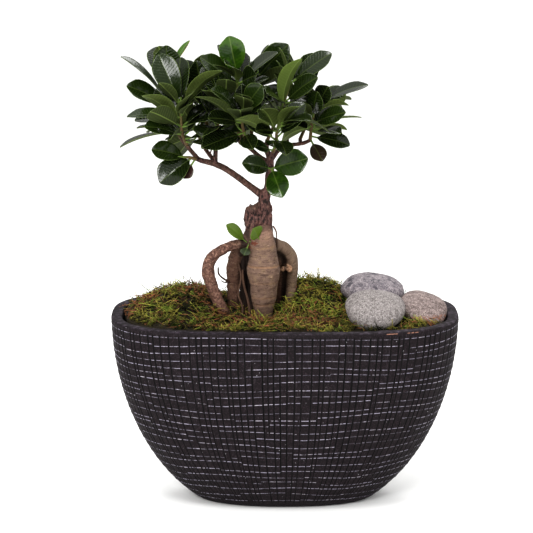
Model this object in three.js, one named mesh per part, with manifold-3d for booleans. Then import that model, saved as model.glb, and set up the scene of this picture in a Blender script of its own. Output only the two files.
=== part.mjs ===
// A ficus ginseng bonsai: a grafted fig tree with swollen standing roots, in an oval stoneware bowl
// filled with soil, dressed with moss and three granite pebbles.
// Millimetres, +Z up. The origin is the centre of the bowl's flat base, and the front looks along -Y.
import * as THREE from "three";
import { mergeVertices } from "three/addons/utils/BufferGeometryUtils.js";
import Module from "manifold-3d";

const wasm = await Module();
wasm.setup();

// The bowl.
const BOWL_LENGTH = 321;
const BOWL_WIDTH = 168;
const BOWL_HEIGHT = 178;
const BASE_LENGTH = 160;
const BASE_WIDTH = 76;
const WALL = 10.5;
const FLOOR = 11;
const SIDE_BULGE = 1.95; // how late the sides turn in towards the base
const SIDE_POWER = 2.3;
const RIM_SQUARENESS = 3; // exponent of the rim's oval: 2 is an ellipse
const BASE_SQUARENESS = 2.2;
const RIM_BAND = 8; // smooth band under the rim, above the incised lines
const FOOT_HEIGHT = 4;
const FOOT_INSET = 5;
const INCISED_FROM = 26; // height at which the incised lines start
const INCISIONS = 96; // upright lines cut round the bowl
const INCISION_DEPTH = 1;
const INCISION_HALF_WIDTH = 0.7;
const HOLLOW_SIDES = 40;

// What fills the bowl.
const GAP = 0.3; // left between pieces that rest against each other
const SOIL_LEVEL = 168;
const MOSS_THICKNESS = 8;
const SOIL_CELL = 22;
const MOSS_CELL = 13;
const MOSS_TUFT = 3.2; // height of the tufts on the moss
const MOSS_SEAM = 0.3; // half the gap between two moss mats
const SMALLEST_MAT = 5000; // cubic millimetres

// The leaves.
const PETIOLE = 6;
const PETIOLE_RADIUS = 0.9;
const LEAF_KEEL = 0.4; // depth of the rib under the fold
const LEAF_WIDTH_SHARE = 0.56; // width over length
const BLADE_SWELL = 0.8; // powers that shape the blade's outline from the base and from the tip
const BLADE_CLOSE = 0.5;
const LEAF_FOLD = 0.18; // rise of the blade's edge over its rib, as a share of its half width
const LEAF_STATIONS = [0.2, 0.5, 0.8];
const FEWER_STATIONS = [0.3, 0.74]; // for the leaves that fill the crown
const LEAF_REACH = 2.4; // closest that two blades may come
const WOOD_REACH = 0.8; // closest that a leaf may come to wood
const ARCH = 0.06; // rise of the blade along its length, as a share of it
const ARCH_OF_DROOPING = 0.12;
const DROOPING_TURN = 95; // blades turned further than this droop

// The further leaves that spiral up a shoot, from the lowest to the highest.
const GOLDEN_ANGLE = THREE.MathUtils.degToRad(137.508);
const SPIRAL_SHARES = [0.28, 0.98];
const SPIRAL_SPLAYS = [81, 39]; // degrees from the stem
const SPLAY_RANGE = 14;
const LENGTHS = [38, 48];
const TOP_SHORTENING = 9;

const ACROSS = new THREE.Vector3(1, 0, 0);
const TO_VIEWER = new THREE.Vector3(0, -1, 0.23).normalize();
const CROWN_MIDDLE = new THREE.Vector3(-35, 0, 350);

const MATERIALS = {
  stoneware: { color: 0x2b2628, roughness: 0.8 },
  soil: { color: 0x2a1d14, roughness: 1 },
  moss: { color: 0x66701f, roughness: 1 },
  root_bark: { color: 0x8a7160, roughness: 0.85 },
  branch_bark: { color: 0x4d3630, roughness: 0.85 },
  leaf: { color: 0x2a4518, roughness: 0.35 },
  young_leaf: { color: 0x4f8a2a, roughness: 0.4 },
  granite: { color: 0x9c9891, roughness: 0.9 },
  blue_granite: { color: 0x85838b, roughness: 0.9 },
  pink_granite: { color: 0x948680, roughness: 0.9 },
};

const FLATNESS = 0.03; // faces that leave a plane by less are joined

const tree = new THREE.Group();

const vector = ([x, y, z]) => new THREE.Vector3(x, y, z);
const mix = THREE.MathUtils.lerp;
const clamp = THREE.MathUtils.clamp;

// A repeatable number from 0 to 1 for any seed.
function chance(seed) {
  const wave = Math.sin(seed * 12.9898) * 43758.5453;
  return wave - Math.floor(wave);
}

// Solids and meshes.

// The solid inside a closed geometry.
function solid(geometry) {
  geometry.deleteAttribute("normal").deleteAttribute("uv");
  const merged = mergeVertices(geometry, 1e-4);
  const corners = merged.index.array;
  const kept = [];
  for (let i = 0; i < corners.length; i += 3) {
    const [a, b, c] = corners.slice(i, i + 3);
    if (a !== b && b !== c && a !== c) kept.push(a, b, c);
  }
  return new wasm.Manifold(
    new wasm.Mesh({
      numProp: 3,
      vertProperties: new Float32Array(merged.attributes.position.array),
      triVerts: new Uint32Array(kept),
    }),
  );
}

// A closed skin over rings of points: a band from each ring to the next, and a fan over each end.
// Each ring runs anticlockwise when seen from the last ring's side.
function skin(rings) {
  const count = rings[0].length;
  const points = rings.flat();
  const faces = [];
  for (let ring = 0; ring < rings.length - 1; ring++) {
    for (let j = 0; j < count; j++) {
      const [a, b] = [ring * count + j, ring * count + ((j + 1) % count)];
      faces.push(a, b, b + count, a, b + count, a + count);
    }
  }
  const last = (rings.length - 1) * count;
  if (count > 8) {
    const middle = (ring) => ring.reduce((sum, p) => sum.add(p), new THREE.Vector3()).divideScalar(count);
    points.push(middle(rings[0]), middle(rings.at(-1)));
    for (let j = 0; j < count; j++) {
      const next = (j + 1) % count;
      faces.push(points.length - 2, next, j, points.length - 1, last + j, last + next);
    }
  } else {
    for (let j = 1; j < count - 1; j++) faces.push(0, j + 1, j, last, last + j, last + j + 1);
  }
  return new THREE.BufferGeometry().setFromPoints(points).setIndex(faces);
}

const union = (solids) => solids.reduce((all, one) => all.add(one));

// The largest body of a solid, without any scrap that a cut has left.
function largest(whole) {
  return whole.decompose().reduce((best, one) => (one.volume() > best.volume() ? one : best));
}

function add(name, material, made) {
  const data = largest(made).asOriginal().simplify(FLATNESS).getMesh();
  const geometry = new THREE.BufferGeometry()
    .setAttribute("position", new THREE.BufferAttribute(data.vertProperties, 3))
    .setIndex(new THREE.BufferAttribute(data.triVerts, 1));
  geometry.computeVertexNormals();
  const mesh = new THREE.Mesh(geometry, new THREE.MeshStandardMaterial(MATERIALS[material]));
  mesh.name = name;
  tree.add(mesh);
}

// Limbs: roots, branches and stems, each a tapered tube through stations [x, y, z, radius].

const curveOf = (stations) => new THREE.CatmullRomCurve3(stations.map(vector), false, "catmullrom", 0.5);

function radiusAt(stations, t) {
  const place = t * (stations.length - 1);
  const i = Math.min(Math.floor(place), stations.length - 2);
  return mix(stations[i][3], stations[i + 1][3], THREE.MathUtils.smoothstep(place - i, 0, 1));
}

// A tube grown by an even clearance when grow is given, its ends moved out by as much.
function limb(stations, sides, stepsPerSpan, { grow = 0, lobes = 0 } = {}) {
  const curve = curveOf(stations);
  const rows = (stations.length - 1) * stepsPerSpan;
  const normal = new THREE.Vector3(1, 0.2, 0.1);
  const rings = [];
  for (let row = 0; row <= rows; row++) {
    const t = row / rows;
    const along = curve.getTangent(t);
    const centre = curve.getPoint(t);
    if (row === 0) centre.addScaledVector(along, -grow);
    if (row === rows) centre.addScaledVector(along, grow);
    normal.addScaledVector(along, -normal.dot(along)).normalize();
    const side = along.clone().cross(normal);
    const radius = radiusAt(stations, t);
    rings.push(
      Array.from({ length: sides }, (_, j) => {
        const angle = (2 * Math.PI * j) / sides;
        const lobe = 1 + lobes * (Math.cos(3 * angle + 4 * t) + 0.6 * Math.sin(5 * angle - 9 * t));
        const out = radius * lobe + grow;
        return centre
          .clone()
          .addScaledVector(normal, out * Math.cos(angle))
          .addScaledVector(side, out * Math.sin(angle));
      }),
    );
  }
  return solid(skin(rings));
}

// The bowl, and the soil that fills it.

const inwards = (z) => (BOWL_HEIGHT - z) / BOWL_HEIGHT;

// Half the bowl's outer length or width at a height.
function halfSpan(rim, base, z) {
  const narrowing = 1 - (base / rim) ** SIDE_POWER;
  return (rim / 2) * (1 - narrowing * clamp(inwards(z), 0, 1) ** SIDE_BULGE) ** (1 / SIDE_POWER);
}

// A point of the bowl's oval section at a height, moved out by offset along the section's normal.
function ovalPoint(turn, z, offset) {
  const power = mix(RIM_SQUARENESS, BASE_SQUARENESS, clamp(inwards(z), 0, 1));
  const [a, b] = [halfSpan(BOWL_LENGTH, BASE_LENGTH, z), halfSpan(BOWL_WIDTH, BASE_WIDTH, z)];
  const [c, s] = [Math.cos(turn), Math.sin(turn)];
  const reach = (Math.abs(c) ** power + Math.abs(s) ** power) ** (-1 / power);
  const [x, y] = [a * reach * c, b * reach * s];
  const slopeX = (Math.sign(x) * Math.abs(x / a) ** (power - 1)) / a;
  const slopeY = (Math.sign(y) * Math.abs(y / b) ** (power - 1)) / b;
  const slope = Math.hypot(slopeX, slopeY);
  return new THREE.Vector3(x + (offset * slopeX) / slope, y + (offset * slopeY) / slope, z);
}

// Turns of the oval that are evenly spaced along the rim. Shifts move each one along it, in millimetres.
function evenTurns(count, shifts) {
  const fine = 2880;
  const lengths = [0];
  for (let i = 1; i <= fine; i++) {
    const [before, after] = [i - 1, i].map((k) => ovalPoint((2 * Math.PI * k) / fine, BOWL_HEIGHT, 0));
    lengths.push(lengths[i - 1] + before.distanceTo(after));
  }
  const turnAt = (length) => {
    const wrapped = (length + lengths[fine]) % lengths[fine];
    const i = lengths.findIndex((l) => l > wrapped);
    const share = (wrapped - lengths[i - 1]) / (lengths[i] - lengths[i - 1]);
    return (2 * Math.PI * (i - 1 + share)) / fine;
  };
  return Array.from({ length: count }, (_, k) =>
    shifts.map((shift) => turnAt(((k + 0.5) * lengths[fine]) / count + shift)),
  ).flat();
}

// The inside of the bowl, made smaller by a gap. Its open end stands a little above the rim.
function hollow(gap) {
  const turns = evenTurns(HOLLOW_SIDES, [0]);
  const levels = [FLOOR, FLOOR + FOOT_HEIGHT, 36, 74, 120, BOWL_HEIGHT + 2];
  return solid(
    skin(
      levels.map((z, i) => {
        const level = i === 0 ? z + gap : z;
        const inset = WALL + gap + (i === 0 ? FOOT_INSET : 0);
        return turns.map((turn) => ovalPoint(turn, level, -inset));
      }),
    ),
  );
}

function makeBowl() {
  const turns = evenTurns(INCISIONS, [-INCISION_HALF_WIDTH, 0, INCISION_HALF_WIDTH]);
  const top = BOWL_HEIGHT - RIM_BAND;
  const levels = [
    { z: 0, offset: -FOOT_INSET },
    { z: FOOT_HEIGHT },
    { z: INCISED_FROM, incised: true },
    { z: 62, incised: true },
    { z: 112, incised: true },
    { z: top - 1, incised: true },
    { z: top },
    { z: BOWL_HEIGHT },
  ];
  const ring = ({ z, offset = 0, incised }) =>
    turns.map((turn, j) => {
      if (!incised) return ovalPoint(turns[j - (j % 3) + 1], z, offset);
      return ovalPoint(turn, z, j % 3 === 1 ? -INCISION_DEPTH : 0);
    });
  add("bowl", "stoneware", solid(skin(levels.map(ring))).subtract(hollow(0)));
}

// Soft hills on the soil: [height, x, y, spread along x, spread along y].
const HILLS = [
  [24, -92, 8, 42, 42], [27, 28, 30, 30, 32], [8, 84, 28, 38, 30], [3, 0, -78, 160, 14],
];

function soilHeight(x, y) {
  const rise = ([high, cx, cy, wide, deep]) =>
    high * Math.exp(-(((x - cx) / wide) ** 2) - ((y - cy) / deep) ** 2);
  return SOIL_LEVEL + HILLS.reduce((sum, hill) => sum + rise(hill), 0);
}

function mossHeight(x, y) {
  const tuft = chance(Math.round(x) * 1.37 + Math.round(y) * 7.91);
  return soilHeight(x, y) + MOSS_THICKNESS + MOSS_TUFT * (tuft - 0.5);
}

// The solid under a height function, over the whole bowl, down to a flat underside.
function ground(height, cell, underside) {
  const [nx, ny] = [Math.ceil(BOWL_LENGTH / cell), Math.ceil(BOWL_WIDTH / cell)];
  const plate = new THREE.BoxGeometry(nx * cell, ny * cell, 1, nx, ny, 1);
  const place = plate.getAttribute("position");
  for (let i = 0; i < place.count; i++) {
    const [x, y] = [place.getX(i), place.getY(i)];
    place.setZ(i, place.getZ(i) > 0 ? height(x, y) : underside);
  }
  return solid(plate);
}

// The rootstock: the swollen main root and the roots that stand round it.

const BULB = [
  [-19.8, -12, 150, 4], [-19.8, -12, 176, 7.8], [-20, -12, 199, 12.3], [-20, -12, 221, 15.2],
  [-20.6, -11.5, 240, 12.8], [-22.5, -10, 252, 12.6], [-24, -9, 262, 11.6],
];
const ROOTS = [
  // The shoulder that the left-hand roots come out of.
  [[-35, -8, 234, 5], [-33.5, -8, 246, 7], [-29, -8, 259, 6.5]],
  // The front left root, which arches out and down.
  [
    [-28, -9, 247, 6], [-38, -10, 245, 5], [-49, -13, 243.4, 4.8], [-61, -16, 238.2, 5.2],
    [-68.6, -18, 230.5, 5.6], [-70.4, -19.5, 220.5, 5.8], [-67.8, -20, 209.5, 5.6],
    [-62.5, -19.5, 195, 5.5], [-55.5, -18, 179, 5.6], [-49, -16, 158, 3],
  ],
  // The straighter root behind it.
  [
    [-30, -4, 251, 6], [-38, 0, 243, 6.5], [-44, 3, 231.5, 7], [-47, 6, 219, 7], [-47.5, 8, 203, 6.4],
    [-47.8, 8, 187, 5.6], [-48, 8, 172, 5], [-46, 8, 156, 3],
  ],
  // The right-hand root.
  [
    [-19, -6, 247, 6.6], [-8, 2, 240.5, 6.4], [-0.5, 8, 235.5, 6.4], [5, 12, 227.5, 6.4], [7, 15, 217, 6.1],
    [6.4, 17, 206, 5.7], [5.4, 18, 192, 5.2], [4, 18, 164, 3],
  ],
  // The root in shadow at the back.
  [
    [-17, -2, 241, 6], [-8, 9, 231, 6], [-5, 17, 218, 5.6], [-4, 22, 200, 5], [-3, 24, 180, 4.4],
    [-2, 25, 160, 3],
  ],
];
const ROOTLETS = [
  [
    [-36, -3, 238, 1.6], [-37, -8, 222, 1.3], [-36, -12, 206, 1.3], [-33, -14, 190, 1.3],
    [-31, -15, 166, 1],
  ],
  [
    [-40, -1, 230, 1.6], [-41, -8, 214, 1.2], [-38, -13, 198, 1.3], [-39, -14, 182, 1.2],
    [-38, -14, 166, 1],
  ],
  // A dry rootlet in the gap behind the arching root.
  [[-50, 4, 205, 1.4], [-56, 0, 209, 0.9], [-61, -3, 214.5, 0.8], [-61.5, -4, 221, 0.7]],
  // Two cut stubs on the right-hand root.
  [[2, 12, 219, 2.6], [-2, 5, 218.5, 2.5], [-3, 2, 218, 1.8]],
  [[6, 14, 218, 2.4], [6, 8.5, 217.5, 2.2], [6.5, 6.6, 217, 1.4]],
];

function rootstock(grow) {
  return union([
    limb(BULB, 16, 2, { grow, lobes: 0.022 }),
    ...ROOTS.map((root) => limb(root, 8, 2, { grow, lobes: 0.03 })),
    ...ROOTLETS.map((rootlet) => limb(rootlet, 4, 1, { grow })),
  ]);
}

// The scion: the grafted wood above the roots. Its first limb is the rough cut stub of the graft.

const SCION = [
  [[-27, -8, 256, 9], [-28.5, -8, 264, 9.2], [-29.3, -8, 272, 8], [-29.5, -8, 279.5, 7.2]],
  [
    [-20, -9, 256, 8.5], [-19.5, -8.5, 266, 7.8], [-19.6, -8, 275, 7], [-19.4, -8, 282, 5.2],
    [-18.5, -8, 290, 5.4], [-15.4, -8, 297, 4], [-14.6, -7.5, 306, 3.7], [-13.2, -6, 315, 3.4],
    [-14, -4, 324, 3.1], [-17, -2, 332, 2.5], [-16, -1, 340, 2],
  ],
  // The long left branch and its twigs.
  [
    [-18.5, -8, 287, 4.6], [-24, -8, 292, 3.6], [-31, -9, 297.5, 3.2], [-45, -11, 308.5, 3],
    [-56, -12, 316, 2.9], [-67, -12, 320.5, 2.8], [-78, -12, 323.4, 2.5], [-84, -13, 330, 2.1],
    [-89, -15, 337, 1.9],
  ],
  [[-80, -12, 325, 2.2], [-88, -5, 333, 1.9], [-95, 0, 341, 1.9]],
  [[-74, -12, 322.5, 2], [-78, -15, 323.5, 1.8], [-81, -18, 325, 1.7]],
  [[-64, -12, 319, 2.6], [-63.3, -11, 330, 2.1], [-63, -13, 343, 1.9]],
  [[-63.5, -11, 332, 2], [-65.5, -7, 338, 1.8], [-68, -3, 343, 1.8]],
  [[-62, -12, 318.5, 2.2], [-68, -3, 325, 1.9], [-73, 6, 330, 1.8]],
  // The branches under the middle and right of the crown.
  [
    [-13.6, -5, 318, 2.6], [-25, 2, 325, 2.1], [-32.5, 6, 331, 1.9], [-41, 10, 335, 1.8],
    [-42, 10, 341, 1.7],
  ],
  [[-31, 5, 330, 2], [-31.5, 11, 334, 1.8], [-31, 16, 338, 1.8]],
  [[-38, 9, 333.5, 1.9], [-40, 16, 335, 1.8], [-40, 22, 338, 1.8]],
  [[-14, -4, 321, 2.7], [-6.5, 0, 329.5, 2.2], [1, 4, 333.5, 2], [15, 9, 334.5, 1.9], [23, 12, 337, 1.8]],
  [[0, 3, 333, 2], [2, 9, 335, 1.8], [2, 14, 339, 1.8]],
  [[12, 8, 334.3, 1.9], [14, 14, 334.5, 1.8], [14, 20, 337, 1.8]],
  [[-13.8, -4, 322, 2.4], [-12.5, -9, 327, 2], [-11, -14, 331, 1.8]],
  [[-14.6, -8, 307, 2.2], [-14.5, -12, 311, 1.8], [-14, -14.5, 314, 1.6]],
  [[-17, -2, 330, 2.2], [-26, -5, 335, 1.9], [-33, -10, 338, 1.8]],
];

function scion(grow) {
  const [thick, thin] = [SCION.slice(0, 2), SCION.slice(2)];
  return union([
    ...thick.map((branch) => limb(branch, 10, 1, { grow, lobes: 0.035 })),
    ...thin.map((branch) => limb(branch, 5, 1, { grow, lobes: 0.02 })),
  ]);
}

// The leafy shoots. Each has a stem, the leaves whose place is known, as [share of the stem, tip x, y, z,
// width, turn], and a number of further leaves that spiral up the stem from a first bearing in degrees.
// A turn of 0 degrees shows the blade's upper side to the front, and 90 shows it to the sky.

const SHOOTS = [
  {
    name: "shoot_front_left",
    stem: [[-89, -15, 337], [-93, -19, 348], [-94, -22, 362], [-94, -24, 376]],
    leaves: [
      [0.97, -114, -12, 420, 24, 0], [0.5, -127, -50, 388, 22, 125], [0.9, -56, -45, 409, 22, 115],
      [0.5, -60, -45, 367, 20, 70], [0.72, -141, -22, 380, 22, 60], [0.32, -122, -34, 364, 22, 55],
      [0.12, -69, -42, 342, 16, 65], [0.2, -68, -30, 348, 16, 65],
    ],
    more: 4,
    bearing: 40,
  },
  {
    name: "shoot_far_left",
    stem: [[-95, 0, 341], [-101, 4, 353], [-107, 8, 370], [-109, 10, 385], [-106, 10, 398]],
    leaves: [
      [0.62, -110, 15, 426, 26, 10], [0.62, -149, -4, 416, 22, 74], [0.5, -143, -4, 394, 22, 40],
      [1, -87, 20, 428, 8, 45], [0.3, -137, -2, 358, 20, 60], [0.15, -150, -14, 335, 20, 80],
      [0.2, -135, -8, 351, 17, 84],
    ],
    more: 5,
    bearing: 60,
  },
  {
    name: "shoot_low_left",
    stem: [[-81, -18, 325], [-86, -21, 327], [-91, -24, 328]],
    leaves: [[0.35, -110, -30, 308, 25, 20], [0.9, -115, -26, 334, 18, 30], [0.05, -93, -26, 309, 15, 20]],
    more: 0,
    bearing: 0,
  },
  {
    name: "shoot_left_middle",
    stem: [[-63, -13, 343], [-62, -15, 352], [-58, -18, 365], [-54, -20, 378]],
    leaves: [[0.25, -44, -30, 342, 20, 60]],
    more: 11,
    bearing: 320,
  },
  {
    name: "shoot_left_back",
    stem: [[-68, -3, 343], [-72, 10, 354], [-75, 19, 369], [-76, 25, 385]],
    leaves: [[0.55, -81, 10, 411, 22, 10], [0.8, -96, 24, 409, 22, 30]],
    more: 8,
    bearing: 100,
  },
  {
    name: "shoot_top",
    stem: [[-42, 10, 341], [-43, 8, 355], [-44, 4, 377], [-43, 0, 397]],
    leaves: [
      [1, -51, -8, 436, 24, 0], [0.85, -77, -6, 416, 22, 40], [0.92, -57, -34, 417, 20, 100],
      [0.9, -26, -14, 401, 22, 20],
    ],
    more: 7,
    bearing: 40,
  },
  {
    name: "shoot_top_back",
    stem: [[-31, 16, 338], [-30, 26, 355], [-29, 34, 377], [-27, 38, 395]],
    leaves: [[0.9, 3, 22, 424, 24, 5], [1, -15, 32, 421, 14, 80]],
    more: 7,
    bearing: 150,
  },
  {
    name: "shoot_right_top",
    stem: [[-16, -1, 340], [-8, -6, 359], [-1, -8, 376], [4, -6, 392]],
    leaves: [
      [0.5, 14, -38, 419, 20, 130], [0.65, 29, -26, 401, 20, 35], [1, 42, -8, 420, 20, 30],
    ],
    more: 7,
    bearing: 220,
  },
  {
    name: "shoot_right",
    stem: [[23, 12, 337], [24, 8, 349], [26, 4, 362], [31, 2, 375]],
    leaves: [
      [0.6, 29, -20, 387, 18, 25], [0.8, 41, -4, 390, 18, 20], [0.9, 56, 14, 384, 18, 40],
      [0.95, 77, 0, 385, 18, 55], [0.8, 54, -12, 376, 16, 110], [0.45, 57, -14, 369, 18, 30],
      [0.42, 70, 8, 359, 14, 84], [0.3, 57, 14, 346, 12, 110], [0.25, 50, -20, 349, 18, 62],
      [0.12, 59, -2, 335, 18, 35], [0.04, 34, -8, 321, 15, 10], [0.4, -4, -30, 341, 16, 125],
      [0.5, 9, -26, 377, 14, 120],
    ],
    more: 3,
    bearing: 60,
  },
  {
    name: "shoot_front_right",
    stem: [[-11, -14, 331], [-8, -24, 341], [-8, -32, 351], [-6, -38, 362]],
    leaves: [
      [0.7, -17, -52, 377, 20, 150], [0.75, 13, -56, 382, 18, 120], [0.45, -40, -62, 374, 20, 130],
      [0.08, -8, -34, 346, 14, 10], [0.05, -29, -34, 340, 14, 40],
    ],
    more: 4,
    bearing: 300,
  },
  {
    name: "shoot_trunk",
    stem: [[-14, -14.5, 314], [-13, -18, 316], [-12, -21, 317]],
    leaves: [[0.9, 17, -36, 328, 22, 5], [0.8, -1, -40, 300, 20, 0], [0.6, -37, -34, 324, 18, 15]],
    more: 0,
    bearing: 0,
  },
  {
    name: "shoot_front_middle",
    stem: [[-33, -10, 338], [-37, -24, 349], [-39, -33, 362], [-38, -38, 372]],
    leaves: [[1, -21, -52, 398, 20, 15], [0.4, -80, -52, 388, 20, 112]],
    more: 8,
    bearing: 80,
  },
  {
    name: "shoot_right_back",
    stem: [[2, 14, 339], [8, 30, 351], [13, 42, 367], [16, 46, 378]],
    leaves: [[0.9, 27, 30, 415, 22, 20]],
    more: 10,
    bearing: 10,
  },
  {
    name: "shoot_far_back_left",
    stem: [[-73, 6, 330], [-81, 22, 343], [-87, 36, 358], [-89, 42, 372]],
    leaves: [],
    more: 11,
    bearing: 110,
  },
  {
    name: "shoot_back",
    stem: [[-40, 22, 338], [-44, 40, 349], [-50, 54, 366], [-52, 58, 380]],
    leaves: [],
    more: 11,
    bearing: 200,
  },
  {
    name: "shoot_far_right_back",
    stem: [[14, 20, 337], [19, 38, 345], [24, 50, 357], [27, 54, 370]],
    leaves: [],
    more: 10,
    bearing: 260,
  },
];

// The young sprout on the graft, which has small soft leaves.
const SPROUT = {
  name: "graft_sprout",
  stem: [[-30, -14, 249], [-32, -19, 249.5], [-32, -23, 250]],
  leaves: [[0.6, -54, -23, 265, 8.5, 30], [0.95, -21, -30, 263, 11, 40], [0.8, -40, -26, 240, 8, 20]],
};
const STEM_RADII = [1.7, 1.1];
const SPROUT_RADII = [0.9, 0.7];
const SPROUT_PETIOLE = 4;

// Half a blade's width at a share of its length, as a share of half its greatest width.
function bladeShape(share) {
  const s = clamp(share, 0, 1);
  const widest = BLADE_SWELL / (BLADE_SWELL + BLADE_CLOSE);
  const outline = (at) => at ** BLADE_SWELL * (1 - at) ** BLADE_CLOSE;
  return outline(s) / outline(widest);
}

// The way that a blade's upper side looks, at a turn in degrees from the front towards the sky.
function facing(along, turn) {
  const front = TO_VIEWER.clone().addScaledVector(along, -TO_VIEWER.dot(along)).normalize();
  const side = along.clone().cross(front);
  if (side.z < 0) side.negate();
  const angle = THREE.MathUtils.degToRad(turn);
  return front.multiplyScalar(Math.cos(angle)).addScaledVector(side, Math.sin(angle));
}

// A leaf that leaves the stem at root for tip, its upper side looking as near to face as it can. It may be
// bent from there by yaw, across the blade, and by pitch, up from it.
function makeLeaf({ root, tip, width, face, arch, petiole = PETIOLE }, yaw = 0, pitch = 0, scale = 1) {
  const reach = tip.clone().sub(root);
  const along = reach.clone().normalize();
  const upFrom = () => face.clone().addScaledVector(along, -face.dot(along)).normalize();
  const up = upFrom();
  const side = up.clone().cross(along);
  along.addScaledVector(side, Math.tan(yaw)).addScaledVector(up, Math.tan(pitch)).normalize();
  up.copy(upFrom());
  return {
    root,
    along,
    up,
    side: up.clone().cross(along),
    base: root.clone().addScaledVector(along, petiole),
    length: (reach.length() - petiole) * scale,
    width: width * scale,
    arch,
  };
}

// Height of the blade over its chord, at a share of its length and of its half width.
function bladeLift(leaf, s, across) {
  const half = (leaf.width / 2) * bladeShape(s);
  return leaf.arch * leaf.length * 4 * s * (1 - s) + LEAF_FOLD * half * across;
}

function bladePoint(leaf, s, across, above = 0) {
  const half = (leaf.width / 2) * bladeShape(s);
  return leaf.base
    .clone()
    .addScaledVector(leaf.along, s * leaf.length)
    .addScaledVector(leaf.side, across * half)
    .addScaledVector(leaf.up, bladeLift(leaf, s, Math.abs(across)) + above);
}

// True where a point lies within reach of the blade.
function nearBlade(leaf, point, reach) {
  const from = point.clone().sub(leaf.base);
  const s = from.dot(leaf.along) / leaf.length;
  if (s < 0.02 || s > 1.03) return false;
  const half = Math.max((leaf.width / 2) * bladeShape(s), 0.2);
  const across = Math.abs(from.dot(leaf.side));
  if (across > half + 0.8) return false;
  return Math.abs(from.dot(leaf.up) - bladeLift(leaf, Math.min(s, 1), Math.min(across / half, 1))) < reach;
}

const SAMPLE_STEPS = 12;
const SAMPLE_HALF_COLUMNS = 3;

// Points over a blade, each with its share of the length.
function bladeSamples(leaf) {
  const samples = [];
  for (let i = 1; i <= SAMPLE_STEPS; i++) {
    for (let j = -SAMPLE_HALF_COLUMNS; j <= SAMPLE_HALF_COLUMNS; j++) {
      const s = i / SAMPLE_STEPS;
      samples.push({ s, point: bladePoint(leaf, s, j / SAMPLE_HALF_COLUMNS) });
    }
  }
  return samples;
}

// How a leaf keeps clear of the others.
const OWN_STEM = 8; // wood this close to a leaf's own root is no obstacle
const SAME_SHOOT_START = 0.22; // share of the blade that may touch its neighbours on the stem

const petiolePoints = (leaf) => [0.35, 0.7, 1].map((share) => leaf.root.clone().lerp(leaf.base, share));

// True if the leaf is clear of the leaves that stand already and of the wood and petioles of other shoots.
function isClear(leaf, samples, shoot, grown, wood) {
  const middle = bladePoint(leaf, 0.5, 0);
  for (const other of grown) {
    if (middle.distanceTo(other.middle) > (leaf.length + other.leaf.length) / 2 + 8) continue;
    const start = other.shoot === shoot ? SAME_SHOOT_START : 0;
    if (samples.some(({ s, point }) => s > start && nearBlade(other.leaf, point, LEAF_REACH))) return false;
    if (other.samples.some(({ s, point }) => s > start && nearBlade(leaf, point, LEAF_REACH))) return false;
    const crosses = (point) => nearBlade(other.leaf, point, LEAF_REACH);
    if (other.shoot !== shoot && petiolePoints(leaf).some(crosses)) return false;
  }
  const near = wood.filter(({ point }) => point.distanceTo(middle) < leaf.length + PETIOLE);
  const isOwn = ({ point, owner }) => owner === shoot || point.distanceTo(leaf.root) < OWN_STEM;
  const touches = (each) => {
    const room = each.radius + PETIOLE_RADIUS + WOOD_REACH;
    return petiolePoints(leaf).some((point) => point.distanceTo(each.point) < room);
  };
  const pierces = (each) =>
    each.point.distanceTo(leaf.root) > OWN_STEM && nearBlade(leaf, each.point, each.radius + WOOD_REACH);
  return !near.some((each) => pierces(each) || (!isOwn(each) && touches(each)));
}

// The bends that a leaf tries, from the least to the greatest, as [yaw, pitch] in radians.
const BENDS = [[0, 0]];
for (const size of [7, 14, 21, 28, 36, 46]) {
  for (let k = 0; k < 8; k++) {
    const [angle, bend] = [(Math.PI * k) / 4, THREE.MathUtils.degToRad(size)];
    BENDS.push([bend * Math.cos(angle), bend * Math.sin(angle)]);
  }
}
const PLACED_BENDS = 25; // a leaf whose place is known bends by 21 degrees at most
const SHORTER = [1, 0.82];

// Points along a limb, close enough together to stop a leaf. The owner is the shoot they belong to.
function woodPoints(stations, radius, owner) {
  const curve = curveOf(stations);
  const count = Math.ceil(curve.getLength() / 2.5);
  const at = (t) => ({ point: curve.getPoint(t), radius: radius(t), owner });
  return Array.from({ length: count + 1 }, (_, i) => at(i / count));
}

// The wanted leaf of a row in a shoot's list of leaves.
function placedLeaf(curve, [share, x, y, z, width, turn], petiole) {
  const [root, tip] = [curve.getPoint(share), vector([x, y, z])];
  const face = facing(tip.clone().sub(root).normalize(), turn);
  return { root, tip, width, face, arch: turn > DROOPING_TURN ? ARCH_OF_DROOPING : ARCH, petiole };
}

// The wanted leaf number i of those that spiral up a shoot. It looks up along the stem and out of the crown.
function spiralLeaf(shoot, curve, i) {
  const seed = shoot.bearing + 17 * i;
  const climb = i / Math.max(shoot.more - 1, 1);
  const share = mix(...SPIRAL_SHARES, climb);
  const [root, axis] = [curve.getPoint(share), curve.getTangent(share)];
  const level = ACROSS.clone().addScaledVector(axis, -axis.x).normalize();
  const beside = axis.clone().cross(level);
  const bearing = THREE.MathUtils.degToRad(shoot.bearing) + GOLDEN_ANGLE * i;
  const splay = THREE.MathUtils.degToRad(mix(...SPIRAL_SPLAYS, climb) + SPLAY_RANGE * (chance(seed) - 0.5));
  const length = mix(...LENGTHS, chance(seed + 0.1)) - TOP_SHORTENING * share ** 4;
  const out = level.multiplyScalar(Math.cos(bearing)).addScaledVector(beside, Math.sin(bearing));
  const tip = root
    .clone()
    .addScaledVector(axis, Math.cos(splay) * (length + PETIOLE))
    .addScaledVector(out, Math.sin(splay) * (length + PETIOLE));
  const outward = tip.clone().sub(CROWN_MIDDLE).normalize();
  const face = axis.clone().addScaledVector(outward, 0.3 + chance(seed + 0.2));
  return { root, tip, width: LEAF_WIDTH_SHARE * length, face, arch: ARCH * (0.6 + chance(seed + 0.3)) };
}

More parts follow.
